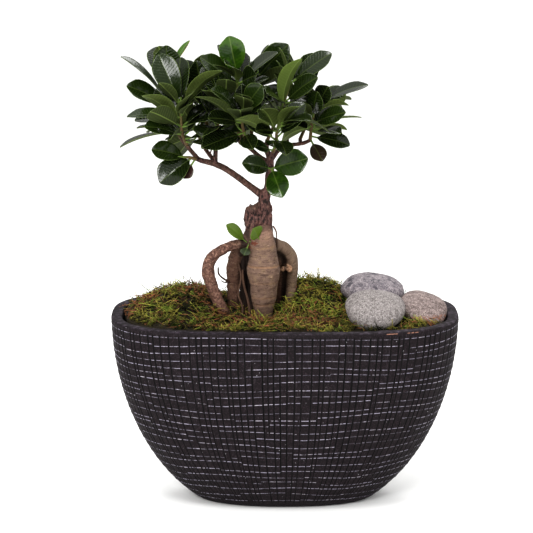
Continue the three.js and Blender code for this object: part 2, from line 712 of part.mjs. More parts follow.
// Grows every leaf, the placed ones first. A leaf bends aside until it is clear, and isn't grown with no room.
function growLeaves() {
  const wood = SCION.flatMap((branch) => woodPoints(branch, (t) => radiusAt(branch, t)));
  for (const shoot of SHOOTS) wood.push(...woodPoints(shoot.stem, (t) => mix(...STEM_RADII, t), shoot));
  const grown = [];
  const grow = (shoot, wanted, stations, bends) => {
    for (const scale of SHORTER) {
      for (const [yaw, pitch] of BENDS.slice(0, bends)) {
        const leaf = makeLeaf(wanted, yaw, pitch, scale);
        const samples = bladeSamples(leaf);
        if (!isClear(leaf, samples, shoot, grown, wood)) continue;
        grown.push({ shoot, leaf, samples, middle: bladePoint(leaf, 0.5, 0), stations });
        wood.push(...petiolePoints(leaf).map((point) => ({ point, radius: PETIOLE_RADIUS, owner: shoot })));
        return;
      }
    }
  };
  for (const shoot of SHOOTS) {
    const curve = curveOf(shoot.stem);
    for (const row of shoot.leaves) grow(shoot, placedLeaf(curve, row), LEAF_STATIONS, PLACED_BENDS);
  }
  for (const shoot of SHOOTS) {
    const curve = curveOf(shoot.stem);
    for (let i = 0; i < shoot.more; i++) {
      grow(shoot, spiralLeaf(shoot, curve, i), FEWER_STATIONS, BENDS.length);
    }
  }
  return grown;
}

// A leaf's solid: a three-sided skin from inside the stem, along the petiole and out to the tip, with the
// rib as a keel under the blade.
function leafSolid(leaf, stations, petioleRadius, keel) {
  const rod = (centre) => [
    centre.clone().addScaledVector(leaf.side, petioleRadius),
    centre.clone().addScaledVector(leaf.side, -petioleRadius),
    centre.clone().addScaledVector(leaf.up, -1.6 * petioleRadius),
  ];
  const section = (s) => [bladePoint(leaf, s, 1), bladePoint(leaf, s, -1), bladePoint(leaf, s, 0, -keel)];
  const tip = bladePoint(leaf, 1, 0);
  const rings = [rod(leaf.root), rod(leaf.base), ...stations.map(section), [tip, tip.clone(), tip.clone()]];
  return solid(skin(rings));
}

function stemSolid(stem, [thick, thin]) {
  const stations = stem.map((place, i) => [...place, mix(thick, thin, i / (stem.length - 1))]);
  const end = curveOf(stem).getTangent(1);
  const last = stem.at(-1);
  const bud = [last[0] + 7 * end.x, last[1] + 7 * end.y, last[2] + 7 * end.z, 0.35];
  return limb([...stations, bud], 4, 1);
}

// Stones: an ellipsoid flattened towards a plane or two, set by its centre, semi-axes and tilt.

const STONES = [
  {
    name: "stone_front",
    material: "granite",
    centre: [82.5, -38, 189.5],
    half: [27.5, 23, 12.5],
    tilt: [30, 3, 6],
    squareness: 2.3,
    seed: 3,
  },
  {
    name: "stone_back",
    material: "blue_granite",
    centre: [82.5, 20, 194.5],
    half: [31, 25, 14],
    tilt: [4, 4, -8],
    squareness: 2.25,
    seed: 8,
  },
  {
    name: "stone_right",
    material: "pink_granite",
    centre: [127, -11, 184],
    half: [23.5, 21, 8.5],
    tilt: [26, 10, -22],
    squareness: 2.6,
    seed: 14,
  },
];

function stone({ centre, half, tilt, squareness, seed }, grow) {
  const ball = new THREE.IcosahedronGeometry(1, 3);
  const place = ball.getAttribute("position");
  const turn = new THREE.Matrix4().makeRotationFromEuler(
    new THREE.Euler(...tilt.map((angle) => THREE.MathUtils.degToRad(angle))),
  );
  for (let i = 0; i < place.count; i++) {
    const way = new THREE.Vector3().fromBufferAttribute(place, i);
    const level = Math.abs(way.x) ** squareness + Math.abs(way.y) ** squareness;
    const rounded = (level + way.z ** 2) ** -0.5;
    const dent = 0.045 * Math.sin(3 * way.x + seed) + 0.04 * Math.sin(4 * way.y + 2 * way.z + 2 * seed);
    const out = Math.min(rounded, 1.16) * (1 + dent);
    const point = new THREE.Vector3(...half).addScalar(grow).multiply(way).multiplyScalar(out);
    place.setXYZ(i, ...point.applyMatrix4(turn).add(vector(centre)).toArray());
  }
  return solid(ball);
}

// Moss mats, parted by wandering seams: [across which axis, at which place, from, to].
const MOSS_SEAMS = [["x", -53, -90, 90], ["x", 52, -90, 90], ["y", -16, -53, 52]];
const SEAM_STEP = 5;

const wander = (at, seed) => 3 * Math.sin(at / 9 + seed) + 2 * Math.sin(at / 4.3 + 2 * seed);

// The thin upright blade that parts the moss along a seam.
function seamBlade([axis, place, from, to]) {
  const count = Math.round((to - from) / SEAM_STEP);
  const edge = (gap) =>
    Array.from({ length: count + 1 }, (_, i) => {
      const at = mix(from, to, i / count);
      const across = place + wander(at, place) + gap;
      return axis === "x" ? new THREE.Vector2(across, at) : new THREE.Vector2(at, across);
    });
  const outline = [...edge(-MOSS_SEAM), ...edge(MOSS_SEAM).reverse()];
  const block = new THREE.ExtrudeGeometry(new THREE.Shape(outline), { depth: 90, bevelEnabled: false });
  return solid(block.translate(0, 0, 150));
}

// The mats by the side of the bowl that their middle lies on.
function matName({ min, max }) {
  const [x, y] = [(min[0] + max[0]) / 2, (min[1] + max[1]) / 2];
  if (Math.abs(x) > 52) return x < 0 ? "moss_left" : "moss_right";
  return y < -16 ? "moss_front" : "moss_back";
}

// The space straight above the bowl's mouth, up to where no moss reaches.
function mouth() {
  const outline = evenTurns(HOLLOW_SIDES, [0]).map((turn) => ovalPoint(turn, BOWL_HEIGHT, -WALL - GAP));
  return solid(skin([BOWL_HEIGHT, 2 * BOWL_HEIGHT].map((z) => outline.map((point) => point.clone().setZ(z)))));
}

function makePlanting() {
  const inside = hollow(GAP);
  const roots = rootstock(GAP);
  add("soil", "soil", inside.intersect(ground(soilHeight, SOIL_CELL, 0)).subtract(roots));
  const bed = ground((x, y) => soilHeight(x, y) + GAP, SOIL_CELL, 0);
  const cuts = [bed, roots, ...STONES.map((each) => stone(each, GAP)), ...MOSS_SEAMS.map(seamBlade)];
  const moss = ground(mossHeight, MOSS_CELL, 0).intersect(inside.add(mouth()));
  const mats = cuts.reduce((rest, cut) => rest.subtract(cut), moss).decompose();
  for (const mat of mats) {
    if (mat.volume() > SMALLEST_MAT) add(matName(mat.boundingBox()), "moss", mat);
  }
}

function makeTree() {
  const [roots, rootsGrown] = [rootstock(0), rootstock(GAP)];
  const [wood, woodGrown] = [scion(0).subtract(rootsGrown), scion(GAP)];
  add("rootstock", "root_bark", roots);
  add("scion_branches", "branch_bark", wood);
  const grown = growLeaves();
  for (const shoot of SHOOTS) {
    const leaves = grown.filter((each) => each.shoot === shoot);
    const solids = leaves.map(({ leaf, stations }) => leafSolid(leaf, stations, PETIOLE_RADIUS, LEAF_KEEL));
    add(shoot.name, "leaf", union([stemSolid(shoot.stem, STEM_RADII), ...solids]).subtract(woodGrown));
  }
  const curve = curveOf(SPROUT.stem);
  const sproutLeaves = SPROUT.leaves.map((row) =>
    leafSolid(makeLeaf(placedLeaf(curve, row, SPROUT_PETIOLE)), LEAF_STATIONS, SPROUT_RADII[0], LEAF_KEEL),
  );
  const sprout = union([stemSolid(SPROUT.stem, SPROUT_RADII), ...sproutLeaves]);
  add(SPROUT.name, "young_leaf", sprout.subtract(rootsGrown).subtract(woodGrown));
}

makeBowl();
makePlanting();
for (const each of STONES) add(each.name, each.material, stone(each, 0));
makeTree();

export default tree;
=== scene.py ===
# %% [markdown]
# # A ficus ginseng bonsai in its bowl
# The tree is a small fig, grafted on swollen roots that stand out of the ground like legs. It grows in an
# oval stoneware bowl that is filled with soil, covered with moss and set with three granite pebbles.
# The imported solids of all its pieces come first, as a fixed frame. Each piece then gets a finer surface
# that keeps the solid's place and form. All sizes below are in millimetres and turn into metres only
# where a mesh is made.

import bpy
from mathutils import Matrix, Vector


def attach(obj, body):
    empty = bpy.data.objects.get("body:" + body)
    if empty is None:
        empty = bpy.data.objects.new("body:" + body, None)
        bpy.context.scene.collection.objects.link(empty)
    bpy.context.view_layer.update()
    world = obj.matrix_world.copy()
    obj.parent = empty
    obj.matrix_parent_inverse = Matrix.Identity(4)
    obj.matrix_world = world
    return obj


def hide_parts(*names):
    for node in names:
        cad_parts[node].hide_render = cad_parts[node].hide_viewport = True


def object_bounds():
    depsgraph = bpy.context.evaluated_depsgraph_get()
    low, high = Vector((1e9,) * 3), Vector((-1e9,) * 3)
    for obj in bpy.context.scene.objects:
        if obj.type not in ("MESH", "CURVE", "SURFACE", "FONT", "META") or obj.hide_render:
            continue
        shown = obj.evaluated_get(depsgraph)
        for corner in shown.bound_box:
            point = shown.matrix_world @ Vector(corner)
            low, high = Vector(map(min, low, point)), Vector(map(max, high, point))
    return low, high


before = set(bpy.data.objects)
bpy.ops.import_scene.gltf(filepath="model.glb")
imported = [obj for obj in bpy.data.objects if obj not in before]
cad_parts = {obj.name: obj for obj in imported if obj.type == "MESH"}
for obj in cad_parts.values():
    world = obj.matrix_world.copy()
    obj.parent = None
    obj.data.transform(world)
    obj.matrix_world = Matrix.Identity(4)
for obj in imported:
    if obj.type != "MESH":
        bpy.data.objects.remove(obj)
cad_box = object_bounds()
print("CAD nodes:", len(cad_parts))

# %% Modules
from itertools import product

import bmesh
import bpy
import numpy as np
from mathutils import Vector

MM = 0.001  # metres in a millimetre

# %% [markdown]
# ## Camera, floor and light
# The photograph was taken from the front, a little from above, with a long lens, so that the bowl's far
# rim looks nearly as wide as its near one. A camera 2.2 m away with a 161 mm lens gives the same
# perspective. The picture is square, so the sensor's width counts for both sides.

# %% Camera
IMAGE_SIDE = 533  # pixels
FOCAL_PIXELS = 2382
SENSOR = 36
TARGET = (-17, 0, 221)
CAMERA_DISTANCE = 2200
CAMERA_PITCH = np.radians(13)
CLIP_END = 100  # metres

view_back = Vector((0, -np.cos(CAMERA_PITCH), np.sin(CAMERA_PITCH)))
camera = bpy.data.objects.new("camera", bpy.data.cameras.new("camera"))
bpy.context.collection.objects.link(camera)
camera.data.sensor_width = SENSOR
camera.data.lens = SENSOR * FOCAL_PIXELS / IMAGE_SIDE
camera.data.clip_end = CLIP_END
camera.location = (Vector(TARGET) + CAMERA_DISTANCE * view_back) * MM
camera.rotation_euler = (-view_back).to_track_quat("-Z", "Y").to_euler()
bpy.context.scene.camera = camera
print(f"lens {camera.data.lens:.1f} mm")

# %% [markdown]
# The light is that of a product table: a white ceiling over a room that is dimmer at eye level, so that
# upright glossy leaves stay dark, and four soft boxes. The largest hangs at the front left and draws the
# pale windows on the leaves. Weaker ones hang overhead, at the right and behind. The surround is a plain
# gradient from its darker horizon to its bright top.

# %% Light
HORIZON = (0.18, 0.18, 0.18, 1)
CEILING = (1.44, 1.44, 1.43, 1)
LIGHT_AIM = Vector((0, 0, 300))
# Each soft box: name, place, side of the box, power in watts.
SOFT_BOXES = [
    ("key_light", (-700, -1850, 1120), 760, 24),
    ("top_light", (-350, -900, 1700), 460, 9),
    ("fill_light", (1300, -900, 900), 500, 4),
    ("back_light", (300, 1100, 1300), 600, 5),
]

world = bpy.data.worlds.new("studio")
world.use_nodes = True
sky = world.node_tree
direction = sky.nodes.new("ShaderNodeTexCoord")
height = sky.nodes.new("ShaderNodeSeparateXYZ")
gradient = sky.nodes.new("ShaderNodeMix")
gradient.data_type = "RGBA"
gradient.inputs[6].default_value = HORIZON
gradient.inputs[7].default_value = CEILING
sky.links.new(direction.outputs["Generated"], height.inputs[0])
sky.links.new(height.outputs["Z"], gradient.inputs[0])
sky.links.new(gradient.outputs[2], sky.nodes["Background"].inputs["Color"])
bpy.context.scene.world = world
bpy.context.scene.view_settings.view_transform = "Standard"
bpy.context.scene.view_settings.look = "Medium High Contrast"

for name, place, side, power in SOFT_BOXES:
    box = bpy.data.objects.new(name, bpy.data.lights.new(name, "AREA"))
    box.data.shape = "SQUARE"
    box.data.size = side * MM
    box.data.energy = power
    box.location = Vector(place) * MM
    box.rotation_euler = (LIGHT_AIM - Vector(place)).to_track_quat("-Z", "Y").to_euler()
    bpy.context.collection.objects.link(box)
print("soft boxes:", len(SOFT_BOXES))

# %% [markdown]
# ## Tools for shapes
# Every piece is built from points and triangles in numpy arrays. A shape also carries marks, which are
# named numbers at its points, such as how far along a root a point lies. The finishes read the marks, so
# that a line of colour and the ridge that it lies on always stay together.

# %% Chance and noise
LATTICE = np.array([0.731, 1.917, 3.377])
CORNERS = np.array(list(product((0, 1), repeat=3)))
STIR = 12.9898  # two large factors that share nothing, so that near seeds give unlike numbers
SPREAD = 43758.5453
SEEDS_APART = 31.7  # cells between the noise of one seed and that of the next


def chance(seed):
    """A repeatable number from 0 to 1 for each seed."""
    wave = np.sin(np.asarray(seed, float) * STIR) * SPREAD
    return wave - np.floor(wave)


def noise(points, size, seed=0):
    """Smooth noise from -1 to 1 at each point, in lumps about size across. size may differ by axis."""
    place = points / size + SEEDS_APART * seed
    cell = np.floor(place)
    share = place - cell
    share = share * share * (3 - 2 * share)
    total = np.zeros(len(points))
    for corner in CORNERS:
        weight = np.prod(np.where(corner, share, 1 - share), axis=1)
        total += weight * chance((cell + corner) @ LATTICE)
    return 2 * total - 1


def rough(points, size, octaves=3, seed=0):
    """Noise with finer noise on it, each octave half as large and half as strong."""
    return sum(noise(points, size / 2**k, seed + k) / 2**k for k in range(octaves))


def smoothstep(value, low=0.0, high=1.0):
    """0 below low and 1 above high, with a soft rise between."""
    share = np.clip((value - low) / (high - low), 0, 1)
    return share * share * (3 - 2 * share)


def mix(low, high, share):
    """low where share is 0 and high where it is 1."""
    return low + (high - low) * share


sample = rough(np.random.default_rng(1).random((2000, 3)) * 90, 12)
print(f"noise runs from {sample.min():.2f} to {sample.max():.2f}")

# %% Shapes


class Shape:
    """Points in millimetres, the triangles between them, and marks: named numbers, one for each point."""

    def __init__(self, points, faces, **marks):
        self.points = np.asarray(points, float)
        self.faces = np.asarray(faces, int)
        self.marks = {name: np.zeros(len(self.points)) + value for name, value in marks.items()}

    def normals(self):
        """The direction out of the shape at each point."""
        a, b, c = (self.points[self.faces[:, k]] for k in range(3))
        across = np.cross(b - a, c - a)
        total = np.zeros_like(self.points)
        for k, axis in product(range(3), range(3)):
            total[:, axis] += np.bincount(self.faces[:, k], across[:, axis], len(self.points))
        return total / np.maximum(np.linalg.norm(total, axis=1), 1e-12)[:, None]


tent = Shape([[0, 0, 0], [1, 0, 0], [0, 1, 0], [0, 0, 1]], [[0, 2, 1], [0, 1, 3], [1, 2, 3], [2, 0, 3]])
print("a tent's point looks", tent.normals()[3].round(2))

# %% Joining and ringing

def joined(shapes):
    """One shape of several, each still closed on its own. A mark that a shape lacks is 0 there."""
    starts = np.cumsum([0] + [len(each.points) for each in shapes])
    names = sorted({name for each in shapes for name in each.marks})
    whole = Shape(
        np.concatenate([each.points for each in shapes]),
        np.concatenate([each.faces + start for each, start in zip(shapes, starts)]),
    )
    for name in names:
        whole.marks[name] = np.concatenate(
            [each.marks.get(name, np.zeros(len(each.points))) for each in shapes]
        )
    return whole


def band_faces(rows, columns):
    """Triangles between rows of points that each run round in a ring."""
    row, column = np.meshgrid(np.arange(rows - 1), np.arange(columns), indexing="ij")
    a = (row * columns + column).ravel()
    b = (row * columns + (column + 1) % columns).ravel()
    first = np.stack([a, b, b + columns], 1)
    second = np.stack([a, b + columns, a + columns], 1)
    return np.concatenate([first, second])


def ringed(rings, **marks):
    """A closed shape over rings, an array of rows x columns x 3, with a fan over each end."""
    rows, columns = rings.shape[:2]
    ends = [rings[0].mean(0), rings[-1].mean(0)]
    points = np.concatenate([rings.reshape(-1, 3), ends])
    start = np.arange(columns)
    after = (start + 1) % columns
    last = (rows - 1) * columns
    low = np.stack([np.full(columns, rows * columns), after, start], 1)
    high = np.stack([np.full(columns, rows * columns + 1), last + start, last + after], 1)
    full = {}
    for name, value in marks.items():
        grid = np.broadcast_to(np.asarray(value, float), (rows, columns))
        full[name] = np.concatenate([grid.ravel(), [grid[0].mean(), grid[-1].mean()]])
    return Shape(points, np.concatenate([band_faces(rows, columns), low, high]), **full)


print("two tents have", len(joined([tent, tent]).faces), "triangles in one shape")


# %% Meshes and pieces
triangles = {}


def mesh_of(shape, name):
    """A Blender mesh of a shape, in metres, with its marks as attributes."""
    mesh = bpy.data.meshes.new(name)
    mesh.vertices.add(len(shape.points))
    mesh.vertices.foreach_set("co", (shape.points * MM).ravel())
    mesh.loops.add(shape.faces.size)
    mesh.loops.foreach_set("vertex_index", shape.faces.ravel())
    mesh.polygons.add(len(shape.faces))
    mesh.polygons.foreach_set("loop_start", np.arange(len(shape.faces)) * 3)
    mesh.update(calc_edges=True)
    for mark, values in shape.marks.items():
        mesh.attributes.new(mark, "FLOAT", "POINT").data.foreach_set("value", values)
    return mesh


def shape_of(mesh):
    """A shape of a Blender mesh, with points that lie on each other joined."""
    mesh.calc_loop_triangles()
    places = np.empty(len(mesh.vertices) * 3)
    mesh.vertices.foreach_get("co", places)
    corners = np.empty(len(mesh.loop_triangles) * 3, int)
    mesh.loop_triangles.foreach_get("vertices", corners)
    rounded = np.round(places.reshape(-1, 3) / MM, 3)
    points, index = np.unique(rounded, axis=0, return_inverse=True)
    return Shape(points, index.reshape(-1)[corners].reshape(-1, 3))


def make_piece(name, shape, finish, nodes):
    """A finished piece in the frame, in place of the CAD nodes that it stands for, within their box."""
    shape.points = np.clip(shape.points, *np.array(cad_box) / MM)
    mesh = mesh_of(shape, name)
    mesh.polygons.foreach_set("use_smooth", np.ones(len(mesh.polygons), bool))
    mesh.materials.append(finish.material)
    piece = bpy.data.objects.new(name, mesh)
    bpy.context.collection.objects.link(piece)
    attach(piece, "root")
    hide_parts(*nodes)
    triangles[name] = len(shape.faces)
    print(f"{name}: {len(shape.faces)} triangles")


def fused(shape, cell, smoothing=0):
    """One closed skin round shapes that cross each other, in quads about a cell wide, then smoothed."""
    crossing = bpy.data.objects.new("crossing", mesh_of(shape, "crossing"))
    bpy.context.collection.objects.link(crossing)
    remesh = crossing.modifiers.new("remesh", "REMESH")
    remesh.mode = "VOXEL"
    remesh.voxel_size = cell * MM
    if smoothing:
        relax = crossing.modifiers.new("relax", "SMOOTH")
        relax.factor = 0.5
        relax.iterations = smoothing
    evaluated = crossing.evaluated_get(bpy.context.evaluated_depsgraph_get())
    skin = shape_of(evaluated.to_mesh())
    evaluated.to_mesh_clear()
    bpy.data.objects.remove(crossing)
    return skin


print("packed bowl:", len(shape_of(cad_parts["bowl"].data).faces), "triangles")

# %% [markdown]
# ## Tools for finishes
# A finish is a node material. Its maths reads best as plain expressions, so a small class wraps a socket
# and gives it the arithmetic signs: `1 - mask` then adds a Math node by itself. Every other node comes
# from one method, which takes the node's kind, its settings and what goes into its sockets.

# %% Signals and colours


class Signal:
    """A number or colour that varies over a surface: one output socket of a finish's nodes."""

    def __init__(self, finish, socket):
        self.finish = finish
        self.socket = socket

    def maths(self, operation, *values):
        """A Math node on numbers and signals."""
        return self.finish.node("Math", {"operation": operation}, dict(enumerate(values)))

    def __add__(self, other):
        return self.maths("ADD", self, other)

    def __radd__(self, other):
        return self.maths("ADD", other, self)

    def __sub__(self, other):
        return self.maths("SUBTRACT", self, other)

    def __rsub__(self, other):
        return self.maths("SUBTRACT", other, self)

    def __mul__(self, other):
        return self.maths("MULTIPLY", self, other)

    def __rmul__(self, other):
        return self.maths("MULTIPLY", other, self)


def colour(red, green, blue):
    """A colour given as on a screen, from 0 to 255, as the light that it stands for."""
    share = np.array([red, green, blue]) / 255
    light = np.where(share <= 0.04045, share / 12.92, ((share + 0.055) / 1.055) ** 2.4)
    return (*light, 1.0)


print("a middle grey of 128 is", round(colour(128, 128, 128)[0], 3), "of white light")

# %% A finish


class Finish:
    """A procedural material. The values that are the same all over are given when it is made."""

    def __init__(self, name, **even_values):
        self.material = bpy.data.materials.new(name)
        self.material.use_nodes = True
        self.tree = self.material.node_tree
        self.tree.nodes.clear()
        self.shader = self.tree.nodes.new("ShaderNodeBsdfPrincipled")
        output = self.tree.nodes.new("ShaderNodeOutputMaterial")
        self.tree.links.new(self.shader.outputs[0], output.inputs["Surface"])
        for socket, value in even_values.items():
            self.shader.inputs[socket.replace("_", " ")].default_value = value
        place = self.node("TexCoord", output="Object")
        self.place = self.node("VectorMath", {"operation": "SCALE"}, {"Vector": place, "Scale": 1 / MM})

    def node(self, kind, settings=None, inputs=None, output=0):
        """One node: its kind, then its settings, then the values or links of its sockets."""
        made = self.tree.nodes.new("ShaderNode" + kind)
        for setting, value in (settings or {}).items():
            setattr(made, setting, value)
        for socket, value in (inputs or {}).items():
            self.feed(made.inputs[socket], value)
        return Signal(self, made.outputs[output])

    def feed(self, socket, value):
        if isinstance(value, Signal):
            self.tree.links.new(value.socket, socket)
        else:
            socket.default_value = value

    def mark(self, name):
        """A mark of the shape, as it varies over the surface."""
        return self.node("Attribute", {"attribute_name": name}, output="Fac")

    def along(self, axis):
        """How far along the X, Y or Z axis a point lies, in millimetres."""
        return self.node("SeparateXYZ", None, {0: self.place}, axis)

    def away(self, middle, size):
        """How far a point lies from a place, counted in a size of its own along each axis."""
        way = self.node("VectorMath", {"operation": "SUBTRACT"}, {0: self.place, 1: middle})
        way = self.node("VectorMath", {"operation": "DIVIDE"}, {0: way, 1: size})
        return self.node("VectorMath", {"operation": "LENGTH"}, {0: way}, "Value")

    def lumps(self, size, detail=3, stretch=None):
        """Noise from 0 to 1 in lumps about size across, drawn out by stretch along each axis."""
        where = self.place
        if stretch:
            where = self.node("VectorMath", {"operation": "DIVIDE"}, {0: where, 1: stretch})
        inputs = {"Vector": where, "Scale": 1 / size, "Detail": detail, "Roughness": 0.6}
        return self.node("TexNoise", None, inputs, "Fac")

    def specks(self, size, output="Distance"):
        """Cells about size across: the distance from each one's middle, or a colour of its own."""
        return self.node("TexVoronoi", None, {"Vector": self.place, "Scale": 1 / size}, output)

    def rise(self, value, low, high):
        """0 where a value is below low and 1 where it is above high, with a soft rise between."""
        inputs = {"Value": value, "From Min": low, "From Max": high}
        return self.node("MapRange", {"interpolation_type": "SMOOTHSTEP"}, inputs)

    def blend(self, share, first, second):
        """The first colour where share is 0 and the second where it is 1."""
        return self.node("Mix", {"data_type": "RGBA"}, {0: share, 6: first, 7: second}, 2)

    def layered(self, ground, layers):
        """A ground under layers of colour, each a share and a colour as on a screen."""
        for share, shade in layers:
            ground = self.blend(share, ground, colour(*shade))
        return ground

    def surface(self, base_colour, roughness=None, height=None, depth=1.0):
        """Feeds the shader. height is a number from 0 to 1 and depth the relief that 1 stands for."""
        self.feed(self.shader.inputs["Base Color"], base_colour)
        if roughness is not None:
            self.feed(self.shader.inputs["Roughness"], roughness)
        if height is not None:
            inputs = {"Distance": depth * MM, "Height": height}
            self.feed(self.shader.inputs["Normal"], self.node("Bump", None, inputs))
        return self


floor_finish = Finish("paper", Roughness=0.9, Specular_IOR_Level=0.2)
cloud = floor_finish.lumps(400)
floor_finish.surface(floor_finish.blend(cloud, colour(248, 248, 247), colour(250, 250, 249)))
print("nodes in the floor's finish:", len(floor_finish.tree.nodes))

# %% Floor
FLOOR_RADIUS = 9000
FLOOR_SIDES = 96
FLOOR_DROP = 0.2  # the floor lies this far below the bowl's foot
FLOOR_THICKNESS = 10

turns = np.linspace(0, 2 * np.pi, FLOOR_SIDES, endpoint=False)
edge = FLOOR_RADIUS * np.stack([np.cos(turns), np.sin(turns), 0 * turns], 1)
levels = np.array([[0, 0, -FLOOR_DROP - FLOOR_THICKNESS], [0, 0, -FLOOR_DROP]])
disc = ringed(edge[None] + levels[:, None])
floor = bpy.data.objects.new("floor", mesh_of(disc, "floor"))
floor.data.materials.append(floor_finish.material)
bpy.context.collection.objects.link(floor)
print("the floor's disc has", len(disc.faces), "triangles")

# %% [markdown]
# ## The bowl
# The bowl is dark stoneware with a flat rim. Its side was cut with upright grooves while the clay was
# soft, then combed across, and a pale slip stays in the combed lines. Cuts this fine could be bump
# alone, but they show along the bowl's outline, so they are modelled: the mesh is a grid whose columns
# follow the grooves and whose rows follow the lines, and both wander as a hand does.

# %% The bowl's form
BOWL_LENGTH = 321
BOWL_WIDTH = 168
BOWL_HEIGHT = 178
BASE_LENGTH = 160
BASE_WIDTH = 76
WALL = 10.5
BOWL_FLOOR = 11
SIDE_BULGE = 1.95
SIDE_POWER = 2.3
RIM_SQUARENESS = 3
BASE_SQUARENESS = 2.2
FOOT_INSET = 5
FINE_STEPS = 5760  # round the rim, to measure it


def half_span(rim_span, base_span, height):
    """Half the bowl's outer length or width at a height."""
    down = np.clip((BOWL_HEIGHT - height) / BOWL_HEIGHT, 0, 1)
    narrowing = 1 - (base_span / rim_span) ** SIDE_POWER
    return rim_span / 2 * (1 - narrowing * down**SIDE_BULGE) ** (1 / SIDE_POWER)


def oval_points(turn, height, offset):
    """Points of the bowl's oval section at a height, moved out by offset."""
    turn, height, offset = np.broadcast_arrays(turn, height, offset)
    down = np.clip((BOWL_HEIGHT - height) / BOWL_HEIGHT, 0, 1)
    power = RIM_SQUARENESS + (BASE_SQUARENESS - RIM_SQUARENESS) * down
    a = half_span(BOWL_LENGTH, BASE_LENGTH, height)
    b = half_span(BOWL_WIDTH, BASE_WIDTH, height)
    c, s = np.cos(turn), np.sin(turn)
    reach = (np.abs(c) ** power + np.abs(s) ** power) ** (-1 / power)
    x, y = a * reach * c, b * reach * s
    slope_x = np.sign(x) * np.abs(x / a) ** (power - 1) / a
    slope_y = np.sign(y) * np.abs(y / b) ** (power - 1) / b
    slope = np.hypot(slope_x, slope_y)
    return np.stack([x + offset * slope_x / slope, y + offset * slope_y / slope, height], -1)


fine_turns = np.linspace(0, 2 * np.pi, FINE_STEPS + 1)
rim_line = oval_points(fine_turns, BOWL_HEIGHT, 0)
rim_steps = np.linalg.norm(np.diff(rim_line, axis=0), axis=1)
rim_lengths = np.concatenate([[0], np.cumsum(rim_steps)])
RIM_LENGTH = rim_lengths[-1]


def turn_at(length):
    """The turn of the oval at a length along the rim."""
    return np.interp(np.mod(length, RIM_LENGTH), rim_lengths, fine_turns)


print(f"the rim is {RIM_LENGTH:.0f} mm round")

# %% The columns of the side
GROOVES = 128
GROOVE_HALF_WIDTH = 0.6
GROOVE_WANDER = 1.8  # most that a groove strays from even spacing
DASH_END = 0.45  # bare clay between a groove's edge and the end of a line

pitch = RIM_LENGTH / GROOVES
order = np.arange(GROOVES)
grooves = (order + 0.5) * pitch + GROOVE_WANDER * (2 * chance(order + 0.3) - 1)
following = np.append(grooves[1:], grooves[0] + RIM_LENGTH)
dash_start = GROOVE_HALF_WIDTH + DASH_END
in_groove = [grooves - GROOVE_HALF_WIDTH, grooves, grooves + GROOVE_HALF_WIDTH]
between = [grooves + dash_start, (grooves + following) / 2, following - dash_start]
fields = np.stack(in_groove + between, 1)
lengths = fields.ravel()
field_of = np.repeat(order, fields.shape[1])
column_kind = np.tile(np.arange(fields.shape[1]), GROOVES)  # 0 to 2 lie in a groove and 1 is its bottom
bowl_turns = turn_at(lengths)
print(f"{len(lengths)} columns, a groove every {pitch:.1f} mm")

# %% [markdown]
# A comb crosses about a dozen fields before it is lifted and set down again. So each line is made of
# strokes, and each stroke has its own height, tilt and strength. The factors inside chance only keep one
# draw apart from the others.

# %% The combed lines
LINES = 25
RUN = 12  # fields that the comb crosses before it is lifted
SLOW_WAVE = 1.5  # how far a line strays in three waves round the bowl
QUICK_WAVE = 0.6  # and in seven
LINE_STEP = 3.2  # most that it jumps from stroke to stroke
LINE_TILT = 2.0  # most that it rises or falls along a stroke
LINE_SHAKE = 0.35  # and from field to field
LINE_GAPS = 0.025  # share of the fields in which a line is missing
STROKE_END = 0.93  # the comb may leave the clay at this share of a stroke or later
LATER = 0.35
FAINTEST_STROKE = 0.62
FAINTEST_FIELD = 0.6


def strokes(line):
    """The number of the stroke that each column lies in, and how far along the stroke it lies."""
    place = (field_of + 3 * RUN * chance(line + 0.5)) / RUN
    return np.floor(place), place - np.floor(place)


def line_wave(line):
    """How far a combed line strays up or down along the rim."""
    angle = 2 * np.pi * lengths / RIM_LENGTH
    slow = SLOW_WAVE * np.sin(3 * angle + 0.3 * line) + QUICK_WAVE * np.sin(7 * angle - 0.4 * line)
    run, share = strokes(line)
    step = LINE_STEP * (chance(run * 1.7 + line * 9.1) - 0.5)
    tilt = LINE_TILT * (chance(run * 2.9 + line * 3.3) - 0.5) * (share - 0.5)
    shake = LINE_SHAKE * (chance(field_of * 2.3 + line * 5.7) - 0.5)
    return slow + step - tilt + shake


def line_strength(line):
    """How clearly a combed line shows in each field: 0 where the comb missed."""
    run, share = strokes(line)
    missed = chance(field_of * 3.1 + line * 7.7) < LINE_GAPS
    lifted = share > STROKE_END + LATER * chance(run * 5.3 + line * 1.9)
    strength = mix(FAINTEST_STROKE, 1, chance(run * 0.9 + line * 2.1))
    strength = strength * mix(FAINTEST_FIELD, 1, chance(field_of * 1.3 + line * 4.9))
    return np.where(missed | lifted, 0, strength)


print("line 7 shows in", f"{(line_strength(7) > 0).mean():.0%}", "of its columns")

# %% Rows of the side
GROOVE_DEPTH = 1.2
WHOLE_GROOVES = 0.84  # share of the grooves that run from rim to foot
PARTLY_END = (30, 180)  # between which heights a shorter groove ends
PARTLY_LENGTH = (60, 130)
GROOVE_FADE = 5
SHALLOWEST_GROOVE = 0.6
FAINT_GROOVE = 0.2  # clay with less groove than this counts as untouched
EDGE_MARK = 0.6  # how much of the groove's shade lies on its edges
SUNK = 0.25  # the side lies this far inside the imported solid, to leave room for the lines
LOW_BAND = (3, 7)  # heights over which the relief begins above the foot
HIGH_BAND = (173.6, 175)  # and ends under the rim


